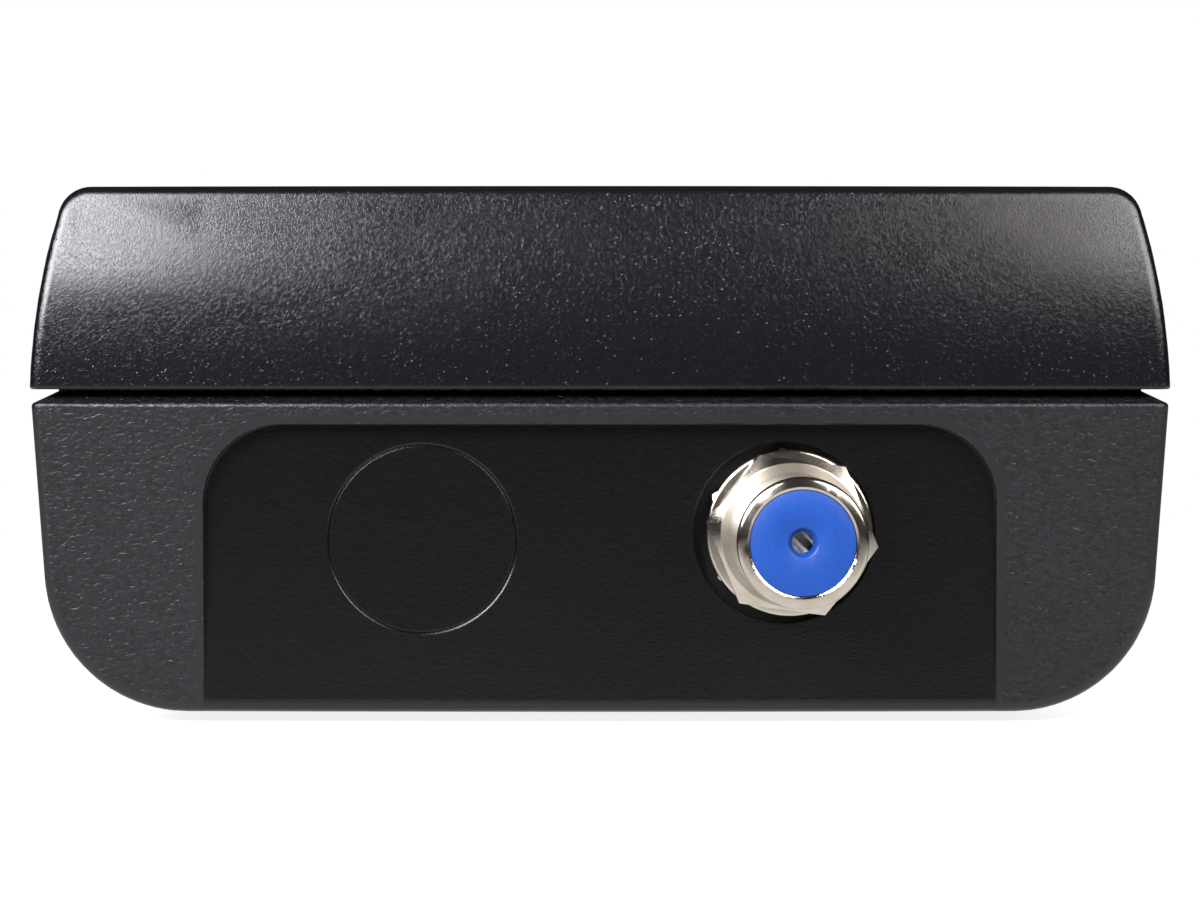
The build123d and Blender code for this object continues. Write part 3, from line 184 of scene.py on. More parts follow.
# Front cover: moulded ABS, glossy, its mould eroded to short wrinkles with a few deeper pits that glint
coverLook = {
    "colours": ("#08080b", "#0d0d11"), "rough": 0.17, "valleyRough": 0.05, "ior": 1.52, "edge": 0.3,
    "wrinkle": 0.34, "swirl": 0.9, "wrinkleHeight": 0.0028, "valley": 0.09,
    "pit": 0.6, "pitHeight": 0.016, "pitFrom": 0.02, "pitTo": 0.15,
    "grain": 0.12, "grainHeight": 0.0006,
}


def coverPlastic(name, look):
    material, tree, place = startMaterial(name)
    swirl = add(tree, "TexNoise", grains(place, look["wrinkle"], Detail=1.5, Distortion=look["swirl"]))
    slope = add(tree, "Math", [swirl, 0.5], operation="SUBTRACT")
    valley = add(tree, "Math", [slope], operation="ABSOLUTE")  # narrow where the noise passes its middle
    island = add(tree, "MapRange", [valley, 0.0, look["valley"]], interpolation_type="SMOOTHSTEP")
    pits = add(tree, "TexVoronoi", grains(place, look["pit"]))
    level = add(tree, "MapRange", [pits, look["pitFrom"], look["pitTo"]],
                interpolation_type="SMOOTHSTEP")
    grain = add(tree, "TexNoise", grains(place, look["grain"], Detail=2.0))
    normal = add(tree, "Bevel", {"Radius": look["edge"] * mm}, samples=bevelSamples)
    for relief, height in ((island, "wrinkleHeight"), (level, "pitHeight"), (grain, "grainHeight")):
        normal = add(tree, "Bump", {"Distance": look[height] * mm, "Height": relief, "Normal": normal})
    rough = look["rough"]
    finishMaterial(tree, {
        "Base Color": add(tree, "Mix", {0: island, **shades(look["colours"])}, data_type="RGBA"),
        "Roughness": add(tree, "MapRange", {0: island, 3: rough + look["valleyRough"], 4: rough}),
        "IOR": look["ior"],
        "Normal": normal,
    })
    return material


# Rear cover: the same ABS with a leather grain, satin; the sunk panel in its end is smoother, and coloured
# darker as painted shade of the recess
rearLook = {
    "colours": ("#08080b", "#151519"), "rough": 0.35, "ior": 1.52, "edge": 0.15,
    "leather": 0.38, "slant": (0.0, 0.6, 0.0), "stretch": (0.7, 1.0, 1.3), "leatherRough": 0.45, "swirl": 0.8,
    # the smooth bands round the panel and beside the end face take a lighter shade: a painted highlight of
    # their rounded edges
    "leatherHeight": 0.06, "ridgeFrom": 0.38, "ridgeTo": 0.62, "plainShade": 0.75,
    "grain": 0.13, "grainHeight": 0.004, "lip": 24.35, "lipHeight": 0.1,
    "roundFrom": -0.97, "roundTo": -0.15,  # the normal's Y on the rounded band beside the end face
}
panelLook = {
    # the panel's two shades are darker than the shell's: painted shade of the recess
    "colours": ("#030304", "#060608"), "rough": 0.2, "leatherLost": 0.88, "depth": 1.45, "before": 0.12,
    "behind": 1.2, "halfWidth": 30.1, "top": 22.8, "corner": 6.0, "bowRadius": 928.5,
    "rim": 0.45, "rimFade": 0.1,
}


def beyondPanel(tree, x, z, look):  # how far a spot lies outside the panel's outline, whose lower end is open
    radius = look["corner"] * mm
    wide = add(tree, "Math", [x], operation="ABSOLUTE")
    across = add(tree, "Math", [wide, look["halfWidth"] * mm - radius], operation="SUBTRACT")
    over = add(tree, "Math", [z, look["top"] * mm - radius], operation="SUBTRACT")
    squares = []
    for side in (across, over):
        outside = add(tree, "Math", [side, 0.0], operation="MAXIMUM")
        squares.append(add(tree, "Math", [outside, 2.0], operation="POWER"))
    both = add(tree, "Math", squares, operation="ADD")
    corner = add(tree, "Math", [both], operation="SQRT")
    nearest = add(tree, "Math", [across, over], operation="MAXIMUM")
    inner = add(tree, "Math", [nearest, 0.0], operation="MINIMUM")
    total = add(tree, "Math", [corner, inner], operation="ADD")
    return add(tree, "Math", [total, radius], operation="SUBTRACT")


def panelMasks(tree, x, y, z, look):  # 1 on the sunk panel, and 1 on the narrow rim round it
    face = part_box("rear_cover")[0].y + look["depth"] * mm
    square = add(tree, "Math", [x, x], operation="MULTIPLY")
    bow = add(tree, "Math", [square, 2 * look["bowRadius"] * mm], operation="DIVIDE")
    front = add(tree, "Math", [bow, face - look["before"] * mm], operation="ADD")
    sunk = add(tree, "Math", [y, front], operation="GREATER_THAN")
    near = add(tree, "Math", [y, face + look["behind"] * mm], operation="LESS_THAN")
    beyond = beyondPanel(tree, x, z, look)
    inside = add(tree, "Math", [beyond, 0.0], operation="LESS_THAN")
    layer = add(tree, "Math", [sunk, near], operation="MULTIPLY")
    panel = add(tree, "Math", [inside, layer], operation="MULTIPLY")
    outside = add(tree, "Math", [1.0, inside], operation="SUBTRACT")
    rimEnd = (look["rim"] + look["rimFade"]) * mm
    fade = add(tree, "MapRange", [beyond, look["rim"] * mm, rimEnd, 1.0, 0.0])
    band = add(tree, "Math", [near, fade], operation="MULTIPLY")
    return panel, add(tree, "Math", [outside, band], operation="MULTIPLY")


def roundedBand(tree, z, look):  # 1 where the end face turns into the sides, below the panel's top
    normal = add(tree, "NewGeometry").outputs["Normal"]
    facing = add(tree, "SeparateXYZ", [normal]).outputs[1]
    aside = add(tree, "Math", [facing, look["roundFrom"]], operation="GREATER_THAN")
    ahead = add(tree, "Math", [facing, look["roundTo"]], operation="LESS_THAN")
    band = add(tree, "Math", [aside, ahead], operation="MULTIPLY")
    low = add(tree, "Math", [z, panelLook["top"] * mm], operation="LESS_THAN")
    return add(tree, "Math", [band, low], operation="MULTIPLY")


def rearPlastic(name, look):
    material, tree, place = startMaterial(name)
    slanted = add(tree, "Mapping", {"Vector": place, "Rotation": look["slant"], "Scale": look["stretch"]})
    leather = add(tree, "TexNoise", grains(slanted, look["leather"], Detail=2.0, Distortion=look["swirl"],
                                           Roughness=look["leatherRough"]))
    grain = add(tree, "TexNoise", grains(place, look["grain"], Detail=2.0))
    x, y, z = add(tree, "SeparateXYZ", [place]).outputs
    panel, rim = panelMasks(tree, x, y, z, panelLook)
    # the bands lose the leather grain, which is real, and are coloured lighter, which is a painted highlight
    smoothHighlitBand = add(tree, "Math", [rim, roundedBand(tree, z, look)], operation="MAXIMUM")
    smoother = add(tree, "Math", [panel, panelLook["leatherLost"]], operation="MULTIPLY")
    lost = add(tree, "Math", [smoother, smoothHighlitBand], operation="MAXIMUM")
    depth = add(tree, "Math", [1.0, lost], operation="SUBTRACT")
    lip = add(tree, "Math", [z, look["lip"] * mm], operation="GREATER_THAN")
    edge = add(tree, "Bevel", {"Radius": look["edge"] * mm}, samples=bevelSamples)
    hide = add(tree, "Bump", {"Strength": depth, "Distance": look["leatherHeight"] * mm, "Height": leather,
                              "Normal": edge})
    pebbled = add(tree, "Bump", {"Strength": lip, "Distance": look["lipHeight"] * mm, "Height": leather,
                                 "Normal": hide})
    fine = add(tree, "Bump", {"Distance": look["grainHeight"] * mm, "Height": grain, "Normal": pebbled})
    ridge = add(tree, "MapRange", [leather, look["ridgeFrom"], look["ridgeTo"]])
    # the lighter shade on the smooth bands is a painted highlight
    even = add(tree, "Mix", {0: smoothHighlitBand, 2: ridge, 3: look["plainShade"]}, data_type="FLOAT")
    shell = add(tree, "Mix", {0: even, **shades(look["colours"])}, data_type="RGBA")
    # the panel's darker tone: painted shade
    panelShadedTone = add(tree, "Mix", {0: ridge, **shades(panelLook["colours"])}, data_type="RGBA")
    finishMaterial(tree, {
        "Base Color": add(tree, "Mix", {0: panel, 6: shell, 7: panelShadedTone}, data_type="RGBA"),
        "Roughness": add(tree, "MapRange", {0: panel, 3: look["rough"], 4: panelLook["rough"]}),
        "IOR": look["ior"],
        "Normal": fine,
    })
    return material


# Connector parts: brass, nickel plated, a warm grey. Turned faces spread the light across their fine grooves,
# the rolled rim is smoother, and the hexagon's chamfers keep small pits under the plating.
nickelLook = {
    "colours": ("#c6bcae", "#d3cabd"), "rough": 0.15, "groovedRough": 0.42, "spread": 0.8, "edge": 0.05,
    "line": 0.16, "lineHeight": 0.002, "lineBump": 0.5, "cloud": 1.6, "smudge": (-0.03, 0.04),
    "pit": 0.12, "pitRough": 0.6, "pitHeight": 0.01, "pitted": 0.7, "pittedFrom": 5.3, "pittedFade": 0.12,
    "rimEnd": 1.0, "jagged": 0.9, "jaggedWithin": 3.97,
}


def platedNickel(name, look):
    material, tree, place = startMaterial(name)
    low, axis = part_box("f_barrel")[0], middle("f_barrel")
    onAxis = add(tree, "VectorMath", [place, (axis.x, low[1], axis.z)], operation="SUBTRACT")
    x, y, z = add(tree, "SeparateXYZ", [onAxis]).outputs
    squares = [add(tree, "Math", [side, side], operation="MULTIPLY") for side in (x, z)]
    both = add(tree, "Math", squares, operation="ADD")
    radius = add(tree, "Math", [both], operation="SQRT")
    turning = add(tree, "CombineXYZ", [radius, y])
    lines = add(tree, "TexNoise", grains(turning, look["line"], Detail=3.0))
    pits = add(tree, "TexNoise", grains(place, look["pit"], Detail=3.0, Roughness=look["pitRough"]))
    cloud, colour = mottled(tree, place, look["cloud"], 4.0, look["colours"])
    start = look["pittedFrom"]
    outer = add(tree, "MapRange", [radius, start * mm, (start + look["pittedFade"]) * mm])
    inner = add(tree, "Math", [1.0, outer], operation="SUBTRACT")
    pastRim = add(tree, "Math", [y, look["rimEnd"] * mm], operation="GREATER_THAN")
    grooved = add(tree, "Math", [pastRim, inner], operation="MULTIPLY")
    mouth = add(tree, "Math", [radius, look["jaggedWithin"] * mm], operation="LESS_THAN")
    pitted = add(tree, "Math", [outer, look["pitted"]], operation="MULTIPLY")
    jagged = add(tree, "Math", [mouth, look["jagged"]], operation="MULTIPLY")
    uneven = add(tree, "Math", [pitted, jagged], operation="MAXIMUM")
    edge = add(tree, "Bevel", {"Radius": look["edge"] * mm}, samples=bevelSamples)
    fine = add(tree, "Bump", {"Strength": look["lineBump"], "Distance": look["lineHeight"] * mm,
                              "Height": lines, "Normal": edge})
    coarse = add(tree, "Bump", {"Strength": uneven, "Distance": look["pitHeight"] * mm, "Height": pits,
                                "Normal": fine})
    outward = add(tree, "CombineXYZ", [x, radius, z])
    smudge = add(tree, "MapRange", [cloud, *noiseRange, *look["smudge"]])
    rough = add(tree, "MapRange", {0: grooved, 3: look["rough"], 4: look["groovedRough"]})
    finishMaterial(tree, {
        "Base Color": colour,
        "Metallic": 1.0,
        "Roughness": add(tree, "Math", [smudge, rough], operation="ADD"),
        "Anisotropic": look["spread"],
        "Tangent": add(tree, "VectorMath", [outward], operation="NORMALIZE"),
        "Normal": coarse,
    })
    return material


# Insulator: moulded acetal, satin blue with a slight waxy depth
blueLook = {
    "colours": ("#093c8a", "#0c4090"), "dull": 0.46, "rubbed": 0.32, "ior": 1.48, "waxy": 0.08, "depth": 0.4,
    "cloud": 1.3, "grain": 0.18, "height": 0.006, "bump": 0.5,
    "scuff": 0.35, "scuffRough": 0.7, "scuffRange": (0.35, 0.7),
}


def blueAcetal(name, look):
    material, tree, place = startMaterial(name)
    colour = mottled(tree, place, look["cloud"], 4.0, look["colours"])[1]
    grain = add(tree, "TexNoise", grains(place, look["grain"], Detail=3.0))
    scuff = add(tree, "TexNoise", grains(place, look["scuff"], Detail=5.0, Roughness=look["scuffRough"]))
    finishMaterial(tree, {
        "Base Color": colour,
        "Roughness": add(tree, "MapRange", [scuff, *look["scuffRange"], look["dull"], look["rubbed"]]),
        "IOR": look["ior"],
        "Subsurface Weight": look["waxy"],
        "Subsurface Scale": look["depth"] * mm,
        "Normal": add(tree, "Bump", {"Strength": look["bump"], "Distance": look["height"] * mm,
                                     "Height": grain}),
    })
    return material


# Front overlay: screen printed polycarbonate with a fine matte texture
overlayLook = {
    "colours": ("#303236", "#36383c"), "rough": (0.42, 0.52), "ior": 1.58, "cloud": 14.0, "grain": 0.12,
    "height": 0.006, "bump": 0.4, "edge": 0.1,
}


def overlayFilm(name, look):
    material, tree, place = startMaterial(name)
    grain = add(tree, "TexNoise", grains(place, look["grain"], Detail=2.0))
    colour = mottled(tree, place, look["cloud"], 2.0, look["colours"])[1]
    edge = add(tree, "Bevel", {"Radius": look["edge"] * mm}, samples=bevelSamples)
    finishMaterial(tree, {
        "Base Color": colour,
        "Roughness": add(tree, "MapRange", [grain, *noiseRange, *look["rough"]]),
        "IOR": look["ior"],
        "Normal": add(tree, "Bump", {"Strength": look["bump"], "Distance": look["height"] * mm,
                                     "Height": grain, "Normal": edge}),
    })
    return material


def within(tree, place, node, halfX, halfY):  # 1 inside a rectangle about the node's middle, seen from above
    offset = add(tree, "VectorMath", [place, tuple(middle(node))], operation="SUBTRACT")
    sides = add(tree, "SeparateXYZ", [offset]).outputs
    inside = []
    for side, half in zip(sides, (halfX, halfY)):
        away = add(tree, "Math", [side], operation="ABSOLUTE")
        inside.append(add(tree, "Math", [away, half * mm], operation="LESS_THAN"))
    return add(tree, "Math", inside, operation="MULTIPLY")


# Display window and light pipes: clear acrylic, polished, thin enough to see straight through. The window is
# inked black outside its opening, whose half sizes are given.
windowLook = {"colour": "#c9ccd0", "rough": 0.02, "ink": "#040405", "halfX": 30.8, "halfY": 23.2}
guideLook = {"colour": "#dfe4e4", "rough": 0.12}
acrylicLook = {"ior": 1.49, "haze": 6.0, "hazeRough": 0.03}


def clearAcrylic(name, look):
    material, tree, place = startMaterial(name)
    haze = add(tree, "TexNoise", grains(place, acrylicLook["haze"], Detail=3.0))
    rough, colour = look["rough"], linear(look["colour"])
    if "ink" in look:
        clear = within(tree, place, "display_window", look["halfX"], look["halfY"])
        border = {0: clear, **shades((look["ink"], look["colour"]))}
        colour = add(tree, "Mix", border, data_type="RGBA")
    finishMaterial(tree, {
        "Base Color": colour,
        "Roughness": add(tree, "MapRange", [haze, *noiseRange, rough, rough + acrylicLook["hazeRough"]]),
        "IOR": acrylicLook["ior"],
        "Transmission Weight": 1.0,
    })
    return material


# Display module: dark glass with a switched off panel, a little bluer than its border
displayLook = {
    "colours": ("#0d0e10", "#1b2431"), "rough": (0.08, 0.14), "ior": 1.52, "coat": 0.6, "coatRough": 0.04,
    "dot": 0.22, "dotEdge": 0.7, "halfX": 30.5, "halfY": 22.9,
}


def displayGlass(name, look):
    material, tree, place = startMaterial(name)
    active = within(tree, place, "display_module", look["halfX"], look["halfY"])
    dots = add(tree, "TexVoronoi", grains(place, look["dot"], Randomness=0.0))
    finishMaterial(tree, {
        "Base Color": add(tree, "Mix", {0: active, **shades(look["colours"])}, data_type="RGBA"),
        "Roughness": add(tree, "MapRange", [dots, 0.0, look["dotEdge"], *look["rough"]]),
        "IOR": look["ior"],
        "Coat Weight": look["coat"],
        "Coat Roughness": look["coatRough"],
    })
    return material


# Circuit boards: green solder mask over copper tracks, tinned pads here and there
boardLook = {
    "mask": ("#0f4a2b", "#11502e"), "rough": 0.32, "ior": 1.55, "track": "#1d6b41", "trackWidth": 0.12,
    "trackLength": 3.1, "trackPitch": 0.9, "trackHeight": 0.03, "trackBump": 0.6,
    "padColour": "#b9b7ad", "padSpacing": 3.4, "padScatter": 0.6, "padSize": 0.13, "padRough": 0.22,
}


def circuitBoard(name, look):
    material, tree, place = startMaterial(name)
    first, second = look["mask"]
    tracks = add(tree, "TexBrick", {
        **grains(place, 1.0, Color1=linear(first), Color2=linear(second), Mortar=linear(look["track"])),
        "Mortar Size": look["trackWidth"],
        "Brick Width": look["trackLength"],
        "Row Height": look["trackPitch"],
    })
    pads = add(tree, "TexVoronoi", grains(place, look["padSpacing"], Randomness=look["padScatter"]))
    pad = add(tree, "Math", [pads, look["padSize"]], operation="LESS_THAN")
    tinned = {0: pad, 6: tracks, 7: linear(look["padColour"])}
    finishMaterial(tree, {
        "Base Color": add(tree, "Mix", tinned, data_type="RGBA"),
        "Metallic": pad,
        "Roughness": add(tree, "MapRange", {0: pad, 3: look["rough"], 4: look["padRough"]}),
        "IOR": look["ior"],
        "Normal": add(tree, "Bump", {"Strength": look["trackBump"], "Distance": look["trackHeight"] * mm,
                                     "Height": tracks.outputs[1]}),
    })
    return material


# Keys: the cover's ABS in a lighter grey, satin and without pits
keyPlasticLook = {**coverLook, "colours": ("#303134", "#36373a"), "rough": 0.42, "wrinkleHeight": 0.002,
                  "pitHeight": 0.0, "edge": 0.1}
# Contact: the same plating on a folded strip, paler and duller
contactPlatingLook = {**nickelLook, "colours": ("#f3ecdc", "#faf4e6"), "rough": 0.4}

materials = {name: plainFinish(name, look) for name, look in finishes.items()}
for name, make, look in (
    ("glossBlackAbs", coverPlastic, coverLook), ("grainedBlackAbs", rearPlastic, rearLook),
    ("keyAbs", coverPlastic, keyPlasticLook), ("nickelPlatedBrass", platedNickel, nickelLook),
    ("platedContact", platedNickel, contactPlatingLook), ("blueDielectric", blueAcetal, blueLook),
    ("overlayFilm", overlayFilm, overlayLook), ("windowAcrylic", clearAcrylic, windowLook),
    ("clearGuide", clearAcrylic, guideLook), ("displayPanel", displayGlass, displayLook),
    ("circuitBoard", circuitBoard, boardLook),
):
    materials[name] = make(name, look)
print("materials made,", len(materials))


def slotMaterial(slot):  # seal_rubber in the record is sealRubber here
    first, *rest = slot.split("_")
    return first + "".join(word.title() for word in rest)


for part in frame["record"]["subparts"]:
    piece = nodes[part["node"]]
    piece.data.materials.clear()
    piece.data.materials.append(materials[slotMaterial(part["material_slot"])])
print("CAD nodes finished")


# Modelling helpers

def only(piece):  # the piece alone, selected and active
    bpy.ops.object.select_all(action="DESELECT")
    piece.select_set(True)
    bpy.context.view_layer.objects.active = piece


def editAll(piece):
    only(piece)
    bpy.ops.object.mode_set(mode="EDIT")
    bpy.ops.mesh.select_all(action="SELECT")


def leaveEdit():
    bpy.ops.object.mode_set(mode="OBJECT")


def done(piece, name, material, smooth=35):
    only(piece)
    bpy.ops.object.transform_apply()
    bpy.ops.object.shade_smooth_by_angle(angle=math.radians(smooth))
    piece.name = name
    piece.data.name = name
    piece.data.materials.clear()
    piece.data.materials.append(materials[material])
    return piece


def apply(piece, kind, **settings):
    only(piece)
    modifier = piece.modifiers.new(kind.title(), kind)
    for key, value in settings.items():
        setattr(modifier, key, value)
    bpy.ops.object.modifier_apply(modifier=modifier.name)


def combine(piece, tool, operation):
    apply(piece, "BOOLEAN", operation=operation, object=tool, solver="EXACT")
    bpy.data.objects.remove(tool)


def profile(centre, points, closed):  # one vertex, extruded from point to point in XY, in mm from the centre
    bpy.ops.mesh.primitive_plane_add(size=mm, location=centre)
    piece = bpy.context.object
    editAll(piece)
    bpy.ops.mesh.merge(type="CENTER")
    bpy.ops.transform.translate(value=(points[0][0] * mm, points[0][1] * mm, 0))
    path = points + [points[0]] if closed else points
    for (x0, y0), (x1, y1) in zip(path, path[1:]):
        step = ((x1 - x0) * mm, (y1 - y0) * mm, 0)
        bpy.ops.mesh.extrude_region_move(TRANSFORM_OT_translate={"value": step})
    bpy.ops.mesh.select_all(action="SELECT")
    bpy.ops.mesh.remove_doubles(threshold=weld)
    return piece


def turned(centre, points, closed=False, steps=96, angle=360.0):  # a profile spun about Y through the centre
    piece = profile(centre, points, closed)
    bpy.ops.mesh.select_all(action="SELECT")
    bpy.ops.mesh.spin(steps=steps, angle=math.radians(angle), center=centre, axis=(0, 1, 0))
    bpy.ops.mesh.select_all(action="SELECT")
    bpy.ops.mesh.remove_doubles(threshold=weld)
    bpy.ops.mesh.normals_make_consistent(inside=False)
    leaveEdit()
    return piece


def bodySize(node):  # where a connector piece starts on the connector's axis, its radius and its length in mm
    low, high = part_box(node)
    return Vector((portAxis.x, low.y, portAxis.z)), (high.x - low.x) / 2 / mm, (high.y - low.y) / mm


# F connector

portAxis = middle("f_barrel")
tip = Vector((portAxis.x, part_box("f_barrel")[0].y, portAxis.z))

# Thread 3/8-32: the tooth's places are shares of the pitch, and cutAt is where in the winding the rod starts
threadLook = {
    "radius": 4.7, "root": 4.36, "pitch": 0.794, "crestRound": 0.03,
    "cutAt": 1.63, "spareTurns": 3, "steps": 72,
    "flankFrom": 0.19, "roundFrom": 0.42, "crestFrom": 0.47, "crestTo": 0.63, "roundTo": 0.68,
}


def threadedRod(look, start, end):  # one groove, wound up the rod and cut flat at both ends
    root, crest, pitch, steps = look["root"], look["radius"], look["pitch"], look["steps"]
    shoulder = crest - look["crestRound"]
    tooth = [(root, 0.0), (root, look["flankFrom"]), (shoulder, look["roundFrom"]),
             (crest, look["crestFrom"]), (crest, look["crestTo"]), (shoulder, look["roundTo"]), (root, 1.0)]
    first = start - look["cutAt"] * pitch
    piece = profile(tip, [(r, first + share * pitch) for r, share in tooth], False)
    leaveEdit()
    turns = math.ceil((end - start) / pitch) + look["spareTurns"]
    apply(piece, "SCREW", axis="Y", angle=math.tau, screw_offset=pitch * mm, iterations=turns, steps=steps,
          render_steps=steps)
    editAll(piece)
    bpy.ops.mesh.remove_doubles(threshold=weld)
    leaveEdit()
    for along, atStart in ((start, True), (end, False)):
        editAll(piece)
        bpy.ops.mesh.bisect(plane_co=(tip.x, tip.y + along * mm, tip.z), plane_no=(0, 1, 0), use_fill=True,
                            threshold=weld / 5, clear_inner=atStart, clear_outer=not atStart)
        leaveEdit()
    editAll(piece)
    bpy.ops.mesh.remove_doubles(threshold=weld)
    bpy.ops.mesh.normals_make_consistent(inside=False)
    leaveEdit()
    return piece


hexLook = {"flats": 11.11, "chamferCircle": 5.28, "chamfer": 0.82, "spare": 0.05}


def hexPrism(look, start, length, turn, backChamfer=False):  # a hexagon with its corners turned off
    corner = look["flats"] / math.sqrt(3)
    circle, chamfer, wide = look["chamferCircle"], look["chamfer"], corner + look["spare"]
    bpy.ops.mesh.primitive_cylinder_add(vertices=6, radius=corner * mm, depth=length * mm,
                                        location=(tip.x, tip.y + (start + length / 2) * mm, tip.z),
                                        rotation=(math.pi / 2, math.radians(-turn - 90), 0))
    piece = bpy.context.object
    end = start + length
    back = [(wide, end - chamfer), (circle, end), (0, end)] if backChamfer else [(wide, end), (0, end)]
    combine(piece, turned(tip, [(0, start), (circle, start), (wide, start + chamfer)] + back), "INTERSECT")
    return piece


# The roll and the mouth give steps from the rim's outer and inner radius, each with its distance from the tip
barrelLook = {
    "threadLength": 11.0, "hexLength": 3.8, "hexTurn": 52.0, "bore": 3.9, "overlap": 0.2, "spare": 1.0,
    "rimRadius": 4.66, "rimLength": 0.9, "rimInner": 3.77, "rimFlat": 0.17, "rimOverlap": 0.1,
    "rimChamfer": (0.1, 0.12), "roll": [(0.3, 0.075), (0.14, 0.13), (0.04, 0.25), (0.0, 0.42)],
    "mouth": [(0.36, -0.1), (0.17, 0.0), (0.0, 0.09), (0.0, 0.35)], "lipEnd": 0.35,
}


def modelBarrel(look):
    whole = bodySize("f_barrel")[2]
    hexStart, bore, overlap = look["threadLength"], look["bore"], look["overlap"]
    hexEnd = hexStart + look["hexLength"]
    rim, length, inner = look["rimRadius"], look["rimLength"], look["rimInner"]
    chamferIn, chamferBack = look["rimChamfer"]
    barrel = threadedRod(threadLook, length - look["rimOverlap"], hexStart + overlap)
    combine(barrel, threadedRod(threadLook, hexEnd - overlap, whole), "UNION")
    combine(barrel, hexPrism(hexLook, hexStart, look["hexLength"], look["hexTurn"]), "UNION")
    roll = [(rim - inset, back) for inset, back in look["roll"]]
    combine(barrel, turned(tip, [(0, 0), (inner + look["rimFlat"], 0)] + roll + [
        (rim, length - chamferBack), (rim - chamferIn, length), (0, length)]), "UNION")
    mouth = [(inner + wider, back) for wider, back in look["mouth"]]
    end = whole + look["spare"]
    combine(barrel, turned(tip, [(0, mouth[0][1])] + mouth + [(bore, look["lipEnd"]), (bore, end), (0, end)]),
            "DIFFERENCE")
    return barrel


insulatorLook = {
    "hole": 0.8, "sink": 1.1, "sinkDepth": 0.4, "nose": 0.2, "noseGap": 0.01, "noseRound": 0.1, "soft": 0.03,
    "sinkRound": 0.04, "shoulder": 0.02,
}


def modelInsulator(look):
    face, radius, length = bodySize("f_insulator_front")
    hole, sink, soft, shoulder = look["hole"], look["sink"], look["soft"], look["shoulder"]
    nose, step, bend = barrelLook["rimInner"] - look["noseGap"], -look["nose"], look["noseRound"]
    ring = [(hole, look["sinkDepth"] + step), (sink - soft, step + soft), (sink + look["sinkRound"], step),
            (nose - bend, step), (nose - soft, step + soft), (nose, step + bend), (nose, shoulder),
            (radius, shoulder), (radius, length), (hole, length)]
    return turned(face, ring, closed=True)


# Each leaf is a folded strip, given by its outline across the contact, and stands at leafTurn degrees
contactLook = {
    "tubeFrom": 2.6, "frontChamfer": 0.12, "backChamfer": 0.1, "steps": 48,
    "leafTurn": 45.0, "leafWidth": 3.0, "leafEnd": 3.2,
    "leaves": [
        [(-1.2, 3.2), (-1.2, 0.5), (-0.86, 0.22), (-0.62, 0.05), (-0.42, 0.22), (-0.3, 0.42), (-0.16, 0.3),
         (-0.08, 0.36), (-0.06, 0.6), (-0.2, 0.8), (-0.2, 3.2)],
        [(1.2, 3.2), (1.2, 0.6), (0.8, 0.3), (0.58, 0.16), (0.44, 0.24), (0.36, 0.42), (0.34, 0.7),
         (0.44, 0.9), (0.44, 3.2)],
    ],
}


def modelContact(look):  # a tube whose front is split into two leaves, each cut to the tube's outline
    face, radius, length = bodySize("f_contact")
    start, front, back, steps = look["tubeFrom"], look["frontChamfer"], look["backChamfer"], look["steps"]
    contact = turned(face, [(0, start), (radius - front, start), (radius, start + front),
                            (radius, length - back), (radius - back, length), (0, length)], steps=steps)
    width, end, turn = look["leafWidth"], look["leafEnd"], math.radians(look["leafTurn"])
    centre = face - Vector((1, 0, -1)).normalized() * width / 2 * mm
    for fold in look["leaves"]:
        strip = profile(centre, fold, True)
        bpy.ops.mesh.select_all(action="SELECT")
        bpy.ops.mesh.edge_face_add()
        bpy.ops.mesh.extrude_region_move(TRANSFORM_OT_translate={"value": (0, 0, -width * mm)})
        bpy.ops.mesh.select_all(action="SELECT")
        bpy.ops.mesh.normals_make_consistent(inside=False)
        leaveEdit()
        only(strip)
        bpy.ops.object.transform_apply()
        editAll(strip)
        bpy.ops.transform.rotate(value=turn, orient_axis="Y", center_override=centre)
        leaveEdit()
        combine(strip, turned(face, [(0, 0), (radius, 0), (radius, end), (0, end)], steps=steps), "INTERSECT")
        combine(contact, strip, "UNION")
    return contact


# The edge gives steps in from the rim, each with its depth: the rounding that the punch leaves
flatWasherLook = {
    "radius": 6.255, "bore": 4.85, "boreRound": 0.06, "backRound": 0.05, "steps": 120,
    "edge": [(0.22, 0.0), (0.09, 0.03), (0.02, 0.12), (0.0, 0.24)],
}


def modelFlatWasher(look):
    face, _, thick = bodySize("flat_washer")
    radius, bore, inside, back = look["radius"], look["bore"], look["boreRound"], look["backRound"]
    ring = [(bore, inside), (bore + inside, 0.0)] + [(radius - inset, depth) for inset, depth in look["edge"]]
    ring += [(radius, thick - back), (radius - back, thick), (bore, thick)]
    return turned(face, ring, closed=True, steps=look["steps"])


lockWasherLook = {
    "radius": 6.1, "root": 5.5, "bore": 4.85, "thin": 0.4, "teeth": 18, "stepsPerTooth": 4,
    "toothTwist": 16.0, "toothShort": 0.04, "toothShare": 0.3, "reach": 0.1,
}


